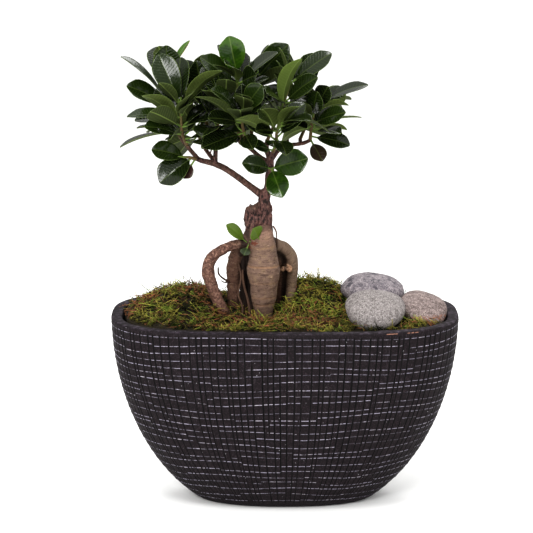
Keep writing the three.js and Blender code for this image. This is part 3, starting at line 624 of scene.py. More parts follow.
def groove_strength(height):
    """How deep each column's groove is at a height. Some grooves reach only part of the way."""
    end = mix(*PARTLY_END, chance(field_of * 1.9))
    start = end - mix(*PARTLY_LENGTH, chance(field_of * 2.7))
    partly = smoothstep(height, start, start + GROOVE_FADE)
    partly = partly * (1 - smoothstep(height, end, end + GROOVE_FADE))
    whole = chance(field_of + 0.7) < WHOLE_GROOVES
    return np.where(whole, 1, partly) * mix(SHALLOWEST_GROOVE, 1, chance(field_of + 0.1))


def side_row(height, offset, line_mark=0.0):
    """One row of the side: its points, its line mark and its groove mark."""
    up = smoothstep(height, *LOW_BAND) * (1 - smoothstep(height, *HIGH_BAND))
    strength = groove_strength(height) * up * (column_kind < 3)
    cut = GROOVE_DEPTH * strength * (column_kind == 1)
    untouched = strength < FAINT_GROOVE
    points = oval_points(bowl_turns, height, offset * untouched - SUNK * up - cut)
    return points, line_mark * untouched, strength * np.where(column_kind == 1, 1, EDGE_MARK)


middle_row = side_row(np.full(len(lengths), 90.0), 0)
print("columns in a groove at half height:", (middle_row[2] > FAINT_GROOVE).sum())

# %% The side
FIRST_LINE = 8.5  # height of the lowest line
LAST_LINE = 172.6
LINE_RELIEF = 0.4
LINE_HALF_HEIGHT = 0.48
# A line's section: height over its middle, and share of its relief there.
LINE_SECTION = [(-LINE_HALF_HEIGHT, 0), (-0.1, 1), (0.26, 0.8), (LINE_HALF_HEIGHT + 0.15, 0)]
END_LINE_STRAY = 0.55  # the lowest and the highest line stray less
FOOT_ROWS = [(0.0, -FOOT_INSET), (1.2, -0.9), (4.0, 0)]  # height and offset

spacing = (LAST_LINE - FIRST_LINE) / (LINES - 1)
rows = [side_row(np.full(len(lengths), height), offset) for height, offset in FOOT_ROWS]
for line in range(LINES):
    stray = END_LINE_STRAY if line in (0, LINES - 1) else 1
    middle = FIRST_LINE + spacing * line + stray * line_wave(line)
    strength = line_strength(line)
    for above, share in LINE_SECTION:
        mark = strength if share else 0.0
        rows.append(side_row(middle + above, LINE_RELIEF * strength * share, mark))
print(f"{len(rows)} rows of {len(lengths)} columns, lines {spacing:.1f} mm apart")

# %% The rim and the inside
RIM_ROUNDING = 1.4
INNER_LEVELS = [165, 120, 74, 36, 15]
# The other levels, up over the rim and down inside: height, offset and how much of the rim's shade.
UPPER_LEVELS = [
    (175.2, -0.1, 0), (BOWL_HEIGHT - RIM_ROUNDING, -0.1, 0), (BOWL_HEIGHT - 0.4, -0.6, 0.5),
    (BOWL_HEIGHT, -RIM_ROUNDING, 1), (BOWL_HEIGHT, -WALL / 2, 1), (BOWL_HEIGHT, RIM_ROUNDING - WALL, 1),
    (BOWL_HEIGHT - 0.5, 0.4 - WALL, 1), (BOWL_HEIGHT - RIM_ROUNDING - 0.4, -WALL, 0.6),
]
UPPER_LEVELS += [(level, -WALL, 0) for level in INNER_LEVELS] + [(BOWL_FLOOR, -WALL - FOOT_INSET, 0)]
RIM_WAVER = [(0.25, RIM_LENGTH / 4), (0.2, 61)]  # how far, and length of the wave
WAVER_SHARE = 0.3

waver = sum(much * np.sin(2 * np.pi * lengths / wave) for much, wave in RIM_WAVER)
bare = np.zeros(len(lengths))
for height, offset, _ in UPPER_LEVELS:
    on_rim = offset < -0.2
    rows.append((oval_points(bowl_turns, height, offset + WAVER_SHARE * waver * on_rim), bare, bare))

rim_rows = np.zeros(len(rows))
rim_rows[-len(UPPER_LEVELS):] = [shade for _, _, shade in UPPER_LEVELS]
bowl_shape = ringed(
    np.stack([points for points, _, _ in rows]),
    line=np.stack([line for _, line, _ in rows]),
    groove=np.stack([groove for _, _, groove in rows]),
    rim=rim_rows[:, None],
)
print("lowest and highest point:", bowl_shape.points[:, 2].min(), bowl_shape.points[:, 2].max())

# %% [markdown]
# The clay is nearly black and dull, with a fine grain and pale scratches, and painted shade darkens the
# grooves. The slip in the combed lines is a bluish grey that has rubbed off in places, and a few small drops
# of it lie between them. The rim is as dark, with dusty grey patches, and at the front right its edge is
# chipped down to pale orange clay.

# %% Places on the rim
CHIPS = [388, 391, 394, 397, 409, 413, 417]  # pixel columns of the chips in the photograph
CHIP_DROP = 1.4  # how far below the rim the chips lie


def on_rim_edge(px):
    """The point of the bowl's front edge that the photograph shows in the column px."""
    front = rim_line[rim_line[:, 1] < 0]
    down = np.sin(CAMERA_PITCH)
    level = np.cos(CAMERA_PITCH)
    depth = CAMERA_DISTANCE + front[:, 1] * level - (front[:, 2] - TARGET[2]) * down
    seen = IMAGE_SIDE / 2 + FOCAL_PIXELS * (front[:, 0] - TARGET[0]) / depth
    return front[np.argmin(np.abs(seen - px))]


chip_places = [on_rim_edge(px) - [0, 0, CHIP_DROP] for px in CHIPS]
print("the chips lie from x", chip_places[0][0].round(), "to", chip_places[-1][0].round())

# %% Stoneware
CHIP_SIZE = (1.8, 5, 0.5)

stoneware = Finish("stoneware", Specular_IOR_Level=0.2)
grain = stoneware.lumps(1.0, 2)
scratches = stoneware.rise(stoneware.lumps(0.9, 3, (1, 1, 7)), 0.56, 0.74)
on_rim = stoneware.mark("rim")
dust = stoneware.rise(stoneware.lumps(4, 5), 0.45, 0.68) * on_rim
clay = stoneware.blend(stoneware.lumps(9, 3), colour(14, 9, 12), colour(25, 17, 21))
clay = stoneware.layered(clay, [
    (stoneware.rise(grain, 0.52, 0.72) * 0.55, (66, 53, 60)),
    (scratches * 0.3, (88, 80, 86)),
    (on_rim * 0.7, (28, 22, 27)),
    (dust * 0.6, (88, 78, 90)),
    # painted shade: the grooves are darkened nearly to black, as their recesses are shaded
    (stoneware.rise(stoneware.mark("groove"), 0.1, 0.7) * 0.9, (5, 4, 5)),
])
bright = stoneware.rise(stoneware.lumps(9, 3), 0.5, 0.66)
slip = stoneware.blend(stoneware.lumps(2.4, 2), colour(84, 79, 92), colour(186, 181, 198))
slip = stoneware.blend(bright * 0.5, slip, colour(190, 184, 188))
rubbed = stoneware.rise(stoneware.lumps(1.3, 4, (1.6, 1.6, 1)), 0.36, 0.52)
clay = stoneware.blend(stoneware.rise(stoneware.mark("line"), 0.2, 0.8) * rubbed, clay, slip)
drops = stoneware.rise(stoneware.specks(7), 0.075, 0.04) * stoneware.rise(stoneware.lumps(14), 0.42, 0.55)
clay = stoneware.blend(drops * 0.7, clay, colour(178, 174, 180))
for place in chip_places:
    broken = stoneware.away(tuple(place), CHIP_SIZE) + stoneware.lumps(1.1) * 2
    clay = stoneware.blend(stoneware.rise(broken, 2.0, 1.7) * 0.65, clay, colour(158, 116, 98))
relief = 0.6 * grain + 0.4 * scratches
stoneware.surface(clay, roughness=0.62 + 0.25 * grain, height=relief, depth=0.18)

make_piece("bowl_stoneware", bowl_shape, stoneware, ["bowl"])

# %% [markdown]
# ## Soil
# The soil is dark, moist potting earth. Nearly all of it lies under the moss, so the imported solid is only
# remeshed in coarse cells, which keeps the holes that the roots stand in, and made crumbly with noise.

# %% Soil
SOIL_CELL = 4.4
CRUMB_HEIGHT = 0.5
CRUMB_BAND = (160, 167)  # heights over which the crumbs begin

earth = fused(shape_of(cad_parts["soil"].data), SOIL_CELL, 1)
on_top = smoothstep(earth.points[:, 2], *CRUMB_BAND)
crumbs = CRUMB_HEIGHT * np.abs(rough(earth.points, 7, 2, seed=3)) * on_top
earth.points += crumbs[:, None] * earth.normals()

soil_finish = Finish("soil", Roughness=0.95, Specular_IOR_Level=0.3)
crumb = soil_finish.specks(2.4)
dark_soil = soil_finish.blend(soil_finish.lumps(6), colour(30, 21, 15), colour(58, 42, 31))
soil_finish.surface(dark_soil, height=crumb, depth=0.8)

make_piece("potting_soil", earth, soil_finish, ["soil"])

# %% [markdown]
# ## Pebbles
# Three river pebbles of granite lie at the right. Each one is a finely divided ball that is pushed out to
# a rounded, flattened form, dented, and roughened by noise. The front one is pale with olive specks, the
# one behind it is bluish with dark patches, and the right-hand one is brownish pink, streaked and more
# angular, with a rusty lower edge.

# %% Pebble shapes
PEBBLE_DIVISIONS = 6
PEBBLE_CORNERS = 1.16  # most that a corner stands out, where 1 is a ball
PEBBLE_DENT = 0.03
PEBBLE_WEAR = 0.5
PEBBLE_GRAIN = 0.14
PEBBLE_PITS = 0.7
PEBBLE_SUNK = 0.35  # how far the worn surface lies inside the plain form
PEBBLES = {
    "stone_front": dict(
        centre=(82.5, -38, 189.5), half=(27.5, 23, 12.5), tilt=(30, 3, 6), squareness=2.3, seed=3
    ),
    "stone_back": dict(
        centre=(82.5, 20, 194.5), half=(31, 25, 14), tilt=(4, 4, -8), squareness=2.25, seed=8
    ),
    "stone_right": dict(
        centre=(127, -11, 184), half=(23.5, 21, 8.5), tilt=(26, 10, -22), squareness=2.6, seed=14
    ),
}


def turned(points, tilt):
    """Points turned about z, then y, then x, by angles in degrees."""
    (cx, cy, cz), (sx, sy, sz) = np.cos(np.radians(tilt)), np.sin(np.radians(tilt))
    about_x = np.array([[1, 0, 0], [0, cx, -sx], [0, sx, cx]])
    about_y = np.array([[cy, 0, sy], [0, 1, 0], [-sy, 0, cy]])
    about_z = np.array([[cz, -sz, 0], [sz, cz, 0], [0, 0, 1]])
    return points @ (about_x @ about_y @ about_z).T


def ball(divisions):
    """A unit ball of even triangles."""
    made = bmesh.new()
    bmesh.ops.create_icosphere(made, subdivisions=divisions, radius=1)
    points = np.array([vertex.co for vertex in made.verts])
    faces = np.array([[vertex.index for vertex in face.verts] for face in made.faces])
    made.free()
    return points / np.linalg.norm(points, axis=1)[:, None], faces


def pebble(centre, half, tilt, squareness, seed):
    """One pebble: a rounded form, dented in slow waves, worn by noise and pitted."""
    way, faces = ball(PEBBLE_DIVISIONS)
    level = np.abs(way[:, 0]) ** squareness + np.abs(way[:, 1]) ** squareness
    rounded = (level + way[:, 2] ** 2) ** -0.5
    dent = np.sin(3 * way[:, 0] + seed) + np.sin(3 * way[:, 1] + 2 * way[:, 2] + 2 * seed)
    out = np.minimum(rounded, PEBBLE_CORNERS) * (1 + PEBBLE_DENT * dent)
    solid = Shape(way * half * out[:, None], faces)
    wear = PEBBLE_WEAR * rough(solid.points, 13, 3, seed) + PEBBLE_GRAIN * noise(solid.points, 1.6, seed)
    pits = PEBBLE_PITS * np.minimum(noise(solid.points, 2.4, seed + 5) + 0.6, 0)
    solid.points += (wear - PEBBLE_SUNK + pits)[:, None] * solid.normals()
    solid.points = turned(solid.points, tilt) + centre
    return solid


pebbles = {name: pebble(**form) for name, form in PEBBLES.items()}
for name, solid in pebbles.items():
    print(name, "is", np.ptp(solid.points, axis=0).round(), "mm")

# %% Granite
# Each granite: pale ground, darker ground, size of its clouds, fleck and speck colours, share of specks.
GRANITES = {
    "stone_front": dict(
        pale=(139, 132, 130), dark=(110, 104, 102), cloud=3.2, flecks=(170, 163, 162),
        specks=(58, 52, 44), speck_share=0.5,
    ),
    "stone_back": dict(
        pale=(140, 131, 134), dark=(98, 91, 97), cloud=5, flecks=(162, 154, 157),
        specks=(52, 49, 56), speck_share=0.45, patches=(46, 43, 53),
    ),
    "stone_right": dict(
        pale=(138, 123, 119), dark=(96, 83, 80), cloud=3.5, flecks=(168, 153, 149),
        specks=(62, 50, 46), speck_share=0.4, streaks=(2.4, 1, 1), rust=(140, 88, 62),
    ),
}
GRANITE_SLOTS = {"stone_front": "granite", "stone_back": "blue_granite", "stone_right": "pink_granite"}
SPECK_SIZE = 1.5
RUST_BAND = (184.5, 182)  # heights over which the rust comes in


def granite(name, pale, dark, cloud, flecks, specks, speck_share, patches=None, streaks=None, rust=None):
    finish = Finish(name, Specular_IOR_Level=0.4)
    clouds = finish.rise(finish.lumps(cloud, 5, streaks), 0.35, 0.65)
    grain = finish.lumps(1.2, 3)
    layers = [(finish.rise(grain, 0.52, 0.64) * 0.75, flecks)]
    layers.append((finish.rise(grain, 0.46, 0.34) * 0.6, [0.8 * part for part in dark]))
    if patches:
        layers.append((finish.rise(finish.lumps(8, 6), 0.53, 0.63) * 0.8, patches))
    draw = finish.node("SeparateColor", None, {0: finish.specks(SPECK_SIZE, "Color")}, 0)
    spot = finish.rise(finish.specks(SPECK_SIZE), 0.45, 0.25)
    layers.append((spot * finish.rise(draw, speck_share, speck_share + 0.1) * 0.8, specks))
    if rust:
        stain = finish.rise(finish.along("Z") + 5 * finish.lumps(4), *RUST_BAND)
        layers.append((stain * finish.rise(finish.lumps(3), 0.42, 0.6) * 0.7, rust))
    ground = finish.layered(finish.blend(clouds, colour(*dark), colour(*pale)), layers)
    return finish.surface(ground, roughness=0.55 + 0.3 * grain, height=grain, depth=0.25)


for name, slot in GRANITE_SLOTS.items():
    piece_name = "pebble_" + name.split("_")[1]
    make_piece(piece_name, pebbles[name], granite(name, **GRANITES[name]), [name])

# %% [markdown]
# ## Limbs
# Roots, branches and stems are all limbs: tubes that taper along a smooth curve through a few stations,
# each with a place and a radius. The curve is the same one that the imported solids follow.

# %% Limbs
TANGENT_STEP = 1e-4


def curve_points(stations, share):
    """Points of the smooth curve through stations, at shares of its way."""
    points = np.asarray(stations, float)[:, :3]
    padded = np.vstack([2 * points[0] - points[1], points, 2 * points[-1] - points[-2]])
    place = np.clip(share, 0, 1) * (len(points) - 1)
    i = np.minimum(np.floor(place).astype(int), len(points) - 2)
    w = (place - i)[..., None]
    before, here, there, after = (padded[i + k] for k in range(4))
    leaving, arriving = (there - before) / 2, (after - here) / 2
    bend = -3 * here + 3 * there - 2 * leaving - arriving
    return here + leaving * w + bend * w**2 + (2 * here - 2 * there + leaving + arriving) * w**3


def curve_ways(stations, share):
    """Directions of the curve at shares of its way."""
    share = np.asarray(share, float)
    ahead = curve_points(stations, np.minimum(share + TANGENT_STEP, 1))
    way = ahead - curve_points(stations, np.maximum(share - TANGENT_STEP, 0))
    return way / np.linalg.norm(way, axis=-1, keepdims=True)


def curve_length(stations):
    line = curve_points(stations, np.linspace(0, 1, 201))
    return np.linalg.norm(np.diff(line, axis=0), axis=1).sum()


def radii(stations, share):
    """The limb's radius at shares of its way."""
    place = np.clip(share, 0, 1) * (len(stations) - 1)
    i = np.minimum(np.floor(place).astype(int), len(stations) - 2)
    radius = np.asarray(stations, float)[:, 3]
    return radius[i] + (radius[i + 1] - radius[i]) * smoothstep(place - i)


def limb(stations, sides=12, spacing=1.5, lobes=0.0, **marks):
    """A closed tube along the stations, with a mark that tells how many millimetres along it a point lies."""
    length = curve_length(stations)
    share = np.linspace(0, 1, max(3, int(length / spacing)) + 1)
    centres, ways = curve_points(stations, share), curve_ways(stations, share)
    normals = []
    normal = np.array([1, 0.2, 0.1])
    for way in ways:
        normal = normal - normal @ way * way
        normal = normal / np.linalg.norm(normal)
        normals.append(normal)
    normals = np.array(normals)[:, None]
    beside = np.cross(ways[:, None], normals)
    angle = (2 * np.pi * np.arange(sides) / sides)[None, :, None]
    t = share[:, None, None]
    lobe = 1 + lobes * (np.cos(3 * angle + 4 * t) + 0.6 * np.sin(5 * angle - 9 * t))
    radius = radii(stations, share)[:, None, None] * lobe
    rings = centres[:, None] + radius * (np.cos(angle) * normals + np.sin(angle) * beside)
    return ringed(rings, along=(share * length)[:, None], **marks)


test_limb = limb([[0, 0, 0, 5], [0, 0, 30, 3], [10, 0, 50, 1]])
print("a bent twig of", round(test_limb.marks["along"].max()), "mm has", len(test_limb.faces), "triangles")

# %% [markdown]
# ## The rootstock
# The swollen root and the roots around it have grown together where they meet. Tubes that only cross
# would show a hard line there, so all of them are remeshed into one skin, which is smoothed a little
# and then wrinkled: bark on a thick root is creased across its length. Each point therefore learns which
# root it belongs to and how far along that root it lies, and the creases where two roots meet get painted
# shade. Thin rootlets would be lost in the remesh, so they are tubes of their own, and so are two in the
# gap between the big roots, painted nearly black as the shade there.

# %% Stations of the roots
BULB = [
    [-19.8, -12, 150, 4], [-19.8, -12, 176, 7.8], [-20, -12, 199, 12.3], [-20, -12, 221, 15.2],
    [-20.6, -11.5, 240, 12.8], [-22.5, -10, 252, 12.6], [-24, -9, 262, 11.6],
]
SHOULDER = [[-35, -8, 234, 5], [-33.5, -8, 246, 7], [-29, -8, 259, 6.5]]
ARCHING_ROOT = [
    [-28, -9, 247, 6], [-38, -10, 245, 5], [-49, -13, 243.4, 4.8], [-61, -16, 238.2, 5.2],
    [-68.6, -18, 230.5, 5.6], [-70.4, -19.5, 220.5, 5.8], [-67.8, -20, 209.5, 5.6],
    [-62.5, -19.5, 195, 5.5], [-55.5, -18, 179, 5.6], [-49, -16, 158, 3],
]
STRAIGHT_ROOT = [
    [-30, -4, 251, 6], [-38, 0, 243, 6.5], [-44, 3, 231.5, 7], [-47, 6, 219, 7], [-47.5, 8, 203, 6.4],
    [-47.8, 8, 187, 5.6], [-48, 8, 172, 5], [-46, 8, 156, 3],
]
RIGHT_ROOT = [
    [-19, -6, 247, 6.6], [-8, 2, 240.5, 6.4], [-0.5, 8, 235.5, 6.4], [5, 12, 227.5, 6.4],
    [7, 15, 217, 6.1], [6.4, 17, 206, 5.7], [5.4, 18, 192, 5.2], [4, 18, 164, 3],
]
BACK_ROOT = [
    [-17, -2, 241, 6], [-8, 9, 231, 6], [-5, 17, 218, 5.6], [-4, 22, 200, 5], [-3, 24, 180, 4.4],
    [-2, 25, 160, 3],
]
ROOTS = [BULB, SHOULDER, ARCHING_ROOT, STRAIGHT_ROOT, RIGHT_ROOT, BACK_ROOT]
STUBS = [
    [[2, 12, 219, 2.6], [-0.6, 5, 218.8, 2.5], [-1.8, 0.5, 218.6, 3.3], [-2, -0.6, 218.6, 1.8]],
    [[6, 14, 218, 2.2], [4.4, 8, 217.6, 2.3], [4, 3, 217.2, 3], [4, 1.8, 217.2, 1.5]],
]
ROOTLETS = [
    [
        [-39, -5, 219, 1], [-38, -11, 207, 1.1], [-34.5, -14, 194, 1.2], [-32.6, -16, 182, 1.3],
        [-33, -16, 166, 1],
    ],
    [
        [-43, -2, 226, 0.9], [-40.5, -8, 212, 0.9], [-43, -12, 198, 1], [-39, -15, 184, 1],
        [-42, -16, 166, 0.8],
    ],
    # A dry rootlet in the gap behind the arching root, and its side shoot.
    [[-50, 4, 205, 1.4], [-56, 0, 209, 0.9], [-61, -3, 214.5, 0.8], [-61.5, -4, 221, 0.7]],
    [[-52, 3, 206, 1], [-56, 0, 206, 0.6], [-59, -1.5, 208, 0.4]],
    # The thin dry one that hangs from the graft along the neck.
    [[-11, -13, 262, 0.8], [-8.2, -13.5, 257, 0.7], [-7.6, -11, 250, 0.6], [-7.4, -8.5, 242, 0.5]],
]
# These two rootlets fill the gap and are painted nearly black as the shade there.
SHADE_ROOTLETS = [  # two more in the deep shade between the straight root and the swollen one
    [[-38, 2, 238, 3], [-38.5, 1, 222, 3], [-38.5, 0, 205, 3.4], [-37.5, 0, 185, 3.6], [-37, 0, 166, 2.6]],
    [[-35, 2, 240, 3.4], [-35.5, 3, 222, 3.4], [-34, 4, 205, 3.6], [-31, 3, 185, 4], [-31, 3, 166, 2.8]],
]
print("longest root:", round(max(curve_length(root) for root in ROOTS)), "mm")

# %% Near which limb a point lies
LIMBS_APART = 37  # millimetres of noise between one limb and the next


def limb_distances(points, limbs):
    """How far each point is from each limb's skin, and how many mm along that limb it lies."""
    distances, places = [], []
    for stations in limbs:
        length = curve_length(stations)
        share = np.linspace(0, 1, int(length) + 2)
        line, radius = curve_points(stations, share), radii(stations, share)
        square = (points**2).sum(1)[:, None] + (line**2).sum(1) - 2 * points @ line.T
        away = np.sqrt(np.maximum(square, 0)) - radius
        distances.append(away.min(1))
        places.append(share[away.argmin(1)] * length)
    return np.stack(distances, 1), np.stack(places, 1)


def nearest_limb(points, limbs):
    """The distances from all limbs, the number of the nearest one and how far along it each point lies."""
    away, places = limb_distances(points, limbs)
    owner = away.argmin(1)
    return away, owner, places[np.arange(len(owner)), owner]


def bark_creases(points, along, owner, across=2.0, round_size=9.0, seed=0):
    """Wrinkles that run round a limb: noise that changes fast along it and slowly round it."""
    place = np.stack([along + LIMBS_APART * owner, *(points[:, :2] * across / round_size).T], 1)
    return noise(place, across, seed)


print("the graft's middle is nearest to root", nearest_limb(np.array([[-24.0, -9, 262]]), ROOTS)[1][0])

# %% The rootstock's skin
ROOT_CELL = 0.9
ROOT_SMOOTHING = 5
ROOT_LOBES = 0.03
GROWN_TOGETHER = 2.0  # millimetres over which one root's bark turns into another's
CREASES = [(225.8, 0.55), (243.5, 0.25), (196, 0.3), (189, 0.35), (210, 0.2)]  # height on the bulb, depth
CREASE_HALF_HEIGHT = 0.7
NECK_TOP = (256, 262)  # heights over which the root's top turns ragged, under the graft
RAGGED = 1.5
THIN_OWNER = len(ROOTS)  # the number that marks thin rootlets, and the dark ones after it
PAINTED_SHADE_OWNER = THIN_OWNER + 1

tubes = [limb(root, 32, 1, ROOT_LOBES) for root in ROOTS] + [limb(stub) for stub in STUBS]
rootstock = fused(joined(tubes), ROOT_CELL, ROOT_SMOOTHING)
away, owner, along = nearest_limb(rootstock.points, ROOTS)
shares = np.exp(-(away - away.min(1, keepdims=True)) / GROWN_TOGETHER)
shares /= shares.sum(1, keepdims=True)
# cleft is 1 in the crease where two roots meet: it sinks the skin there, and the bark finish paints shade
# into it
cleft = 4 * np.prod(np.sort(shares, axis=1)[:, -2:], axis=1)
wrinkles = bark_creases(rootstock.points, along, owner)
fine_wrinkles = bark_creases(rootstock.points, along, owner, 1.1, 9, seed=2)
relief = 0.5 * rough(rootstock.points, 12, 2, seed=4) - 0.8 * np.minimum(wrinkles + 0.25, 0) ** 2
relief += 0.2 * fine_wrinkles + 0.12 * noise(rootstock.points, 1.8, 5) - 0.7 * cleft
relief += (shares[:, 2] + shares[:, 3]) * 0.4 * noise(rootstock.points, 2.6, 7)
crease_mark = np.zeros(len(relief))
for height, depth in CREASES:
    sway = 0.8 * noise(rootstock.points * [1, 1, 0], 9, int(height))
    off_line = (rootstock.points[:, 2] - height - sway) / CREASE_HALF_HEIGHT
    line = (owner == 0) * np.exp(-(off_line**2))
    relief -= depth * line
    crease_mark = np.maximum(crease_mark, line * min(1, 2 * depth))
rootstock.points += (relief - 0.1)[:, None] * rootstock.normals()
neck = smoothstep(rootstock.points[:, 2], *NECK_TOP)
rootstock.points[:, 2] += neck * (RAGGED * noise(rootstock.points * [1, 1, 0], 4, 8) - 0.5)
rootstock.marks.update(along=along, owner=owner, crease=np.clip(crease_mark, 0, 1), cleft=cleft)
rootstock.marks.update(reddish=shares[:, 2], olive=shares[:, 4], shaded=shares[:, 3] + shares[:, 5])
rootstock.marks["shoulder"] = shares[:, 1]
rootstock.marks["stub"] = smoothstep(-limb_distances(rootstock.points, STUBS)[0].min(1), -0.9, -0.2)
thin_roots = [limb(rootlet, 8, 1.5, owner=THIN_OWNER) for rootlet in ROOTLETS]
shade_roots = [limb(rootlet, 12, 1.5, owner=PAINTED_SHADE_OWNER) for rootlet in SHADE_ROOTLETS]
whole_rootstock = joined([rootstock, *thin_roots, *shade_roots])
print("rootstock from", rootstock.points.min(0).round(), "to", rootstock.points.max(0).round())

# %% [markdown]
# Root bark is a thin tan-grey skin. It is crossed by fine brown and buff wrinkles, darker and browner
# towards the ground and on the thinner roots, with buff rings in the deep creases of the swollen root
# and orange-brown scars where side roots were cut.

# %% Wrinkles and heights of the root bark
ROUND_SHARE = 0.16  # the wrinkles change this much slower round a root than along it
UPPER_BEND = (215, 238)  # heights over which the arching root comes into the light
PALE_NECK = (246, 258)
GRAFT_LINE = (260, 264)
GROUND_LINE = (198, 182)

root_bark = Finish("root_bark", Specular_IOR_Level=0.3)
which = root_bark.mark("owner")
height = root_bark.along("Z")
strip = root_bark.node("CombineXYZ", None, {
    "X": root_bark.mark("along") + LIMBS_APART * which,
    "Y": root_bark.along("X") * ROUND_SHARE,
    "Z": root_bark.along("Y") * ROUND_SHARE,
})
wrinkle_sockets = {"Vector": strip, "Scale": 1.1, "Detail": 5, "Roughness": 0.7}
wrinkle = root_bark.node("TexNoise", None, wrinkle_sockets, "Fac")
neck = root_bark.rise(height + 6 * root_bark.lumps(4), *PALE_NECK)
neck = neck * (1 - 0.4 * root_bark.mark("shoulder"))
lit_part = 0.35 + 0.65 * root_bark.rise(height + 8 * root_bark.lumps(5), *UPPER_BEND)
near_ground = root_bark.rise(height + 12 * root_bark.lumps(8), *GROUND_LINE)
at_graft = root_bark.rise(height + 6 * root_bark.lumps(2.6, 2), *GRAFT_LINE)
print("nodes so far:", len(root_bark.tree.nodes))

# %% Root bark
SCARS = [(-28.5, -22, 247.5, 4.2, 2.4), (-33, -18, 243, 2.4, 2)]  # place, half length and half height
SCAR_DEPTH = 6

reddish = root_bark.mark("reddish")
uneven_bark = reddish + 0.45 * root_bark.mark("shaded")
mottle = root_bark.lumps(1.7, 5)
flakes = root_bark.lumps(2.6, 5)
on_stub = root_bark.rise(root_bark.mark("stub"), 0.3, 0.8)
skin = root_bark.blend(root_bark.lumps(10, 3), colour(91, 71, 62), colour(130, 106, 91))
skin = root_bark.layered(skin, [
    (root_bark.rise(root_bark.lumps(5, 4), 0.5, 0.66) * 0.4, (140, 118, 88)),
    (reddish * 0.6, (100, 64, 54)),
    # painted light: the right root, which lies in the shade behind the swollen root, is lightened as if lit
    (root_bark.mark("olive") * 0.5, (140, 120, 100)),
    (root_bark.mark("shoulder") * 0.7, (112, 88, 76)),
    (neck * 0.45, (162, 128, 110)),
    (root_bark.mark("shaded") * 0.7, (96, 66, 52)),
    (root_bark.rise(wrinkle, 0.48, 0.36) * 0.7, (62, 44, 38)),
    (root_bark.rise(wrinkle, 0.57, 0.68) * 0.5, (180, 152, 130)),
    (root_bark.rise(mottle, 0.5, 0.38) * uneven_bark * 0.7, (60, 38, 32)),
    (root_bark.rise(mottle, 0.56, 0.68) * uneven_bark * 0.45, (178, 144, 124)),
    (lit_part * reddish * root_bark.rise(flakes, 0.5, 0.42) * 0.6, (70, 46, 40)),
    (lit_part * reddish * root_bark.rise(flakes, 0.56, 0.64) * 0.6, (192, 152, 132)),
    (on_stub * 0.9, (186, 148, 118)),
    (on_stub * root_bark.rise(root_bark.lumps(1.7), 0.48, 0.6) * 0.8, (88, 48, 38)),
    (root_bark.rise(which, THIN_OWNER - 0.6, THIN_OWNER - 0.2) * 0.8, (70, 47, 34)),
    # painted shade: the rootlets in the gap between the big roots are nearly black
    (root_bark.rise(which, PAINTED_SHADE_OWNER - 0.6, PAINTED_SHADE_OWNER - 0.2) * 0.9, (24, 15, 11)),
    (root_bark.mark("crease") * 0.5, (160, 122, 88)),
    # painted shade: the creases where two roots meet are darkened
    (root_bark.rise(root_bark.mark("cleft"), 0.2, 0.75) * 0.85, (34, 23, 18)),
    (near_ground * 0.5, (76, 56, 44)),
    (at_graft * 0.7, (92, 68, 60)),
    (root_bark.rise(root_bark.lumps(1.4, 4), 0.56, 0.7) * 0.5, (64, 48, 40)),
])
for x, y, z, long, high in SCARS:
    scar = root_bark.away((x, y, z), (long, SCAR_DEPTH, high)) + 3.4 * root_bark.lumps(1.3, 5)
    skin = root_bark.blend(root_bark.rise(scar, 2.6, 2.3) * 0.85, skin, colour(104, 52, 36))
root_bark.surface(skin, roughness=0.75, height=wrinkle, depth=0.8)

make_piece("rootstock_bark", whole_rootstock, root_bark, ["rootstock"])

# %% [markdown]
# ## The grafted wood
# The scion was grafted on the root: a short stump, sawn off rough, and beside it the young trunk that
# carries the crown. Its bark is dark reddish brown, cracked and flaking on the thick wood and nearly
# smooth on the twigs. Stump, trunk and branches are fused as the roots were, in finer cells, and the
# relief fades out with the limb's thickness.

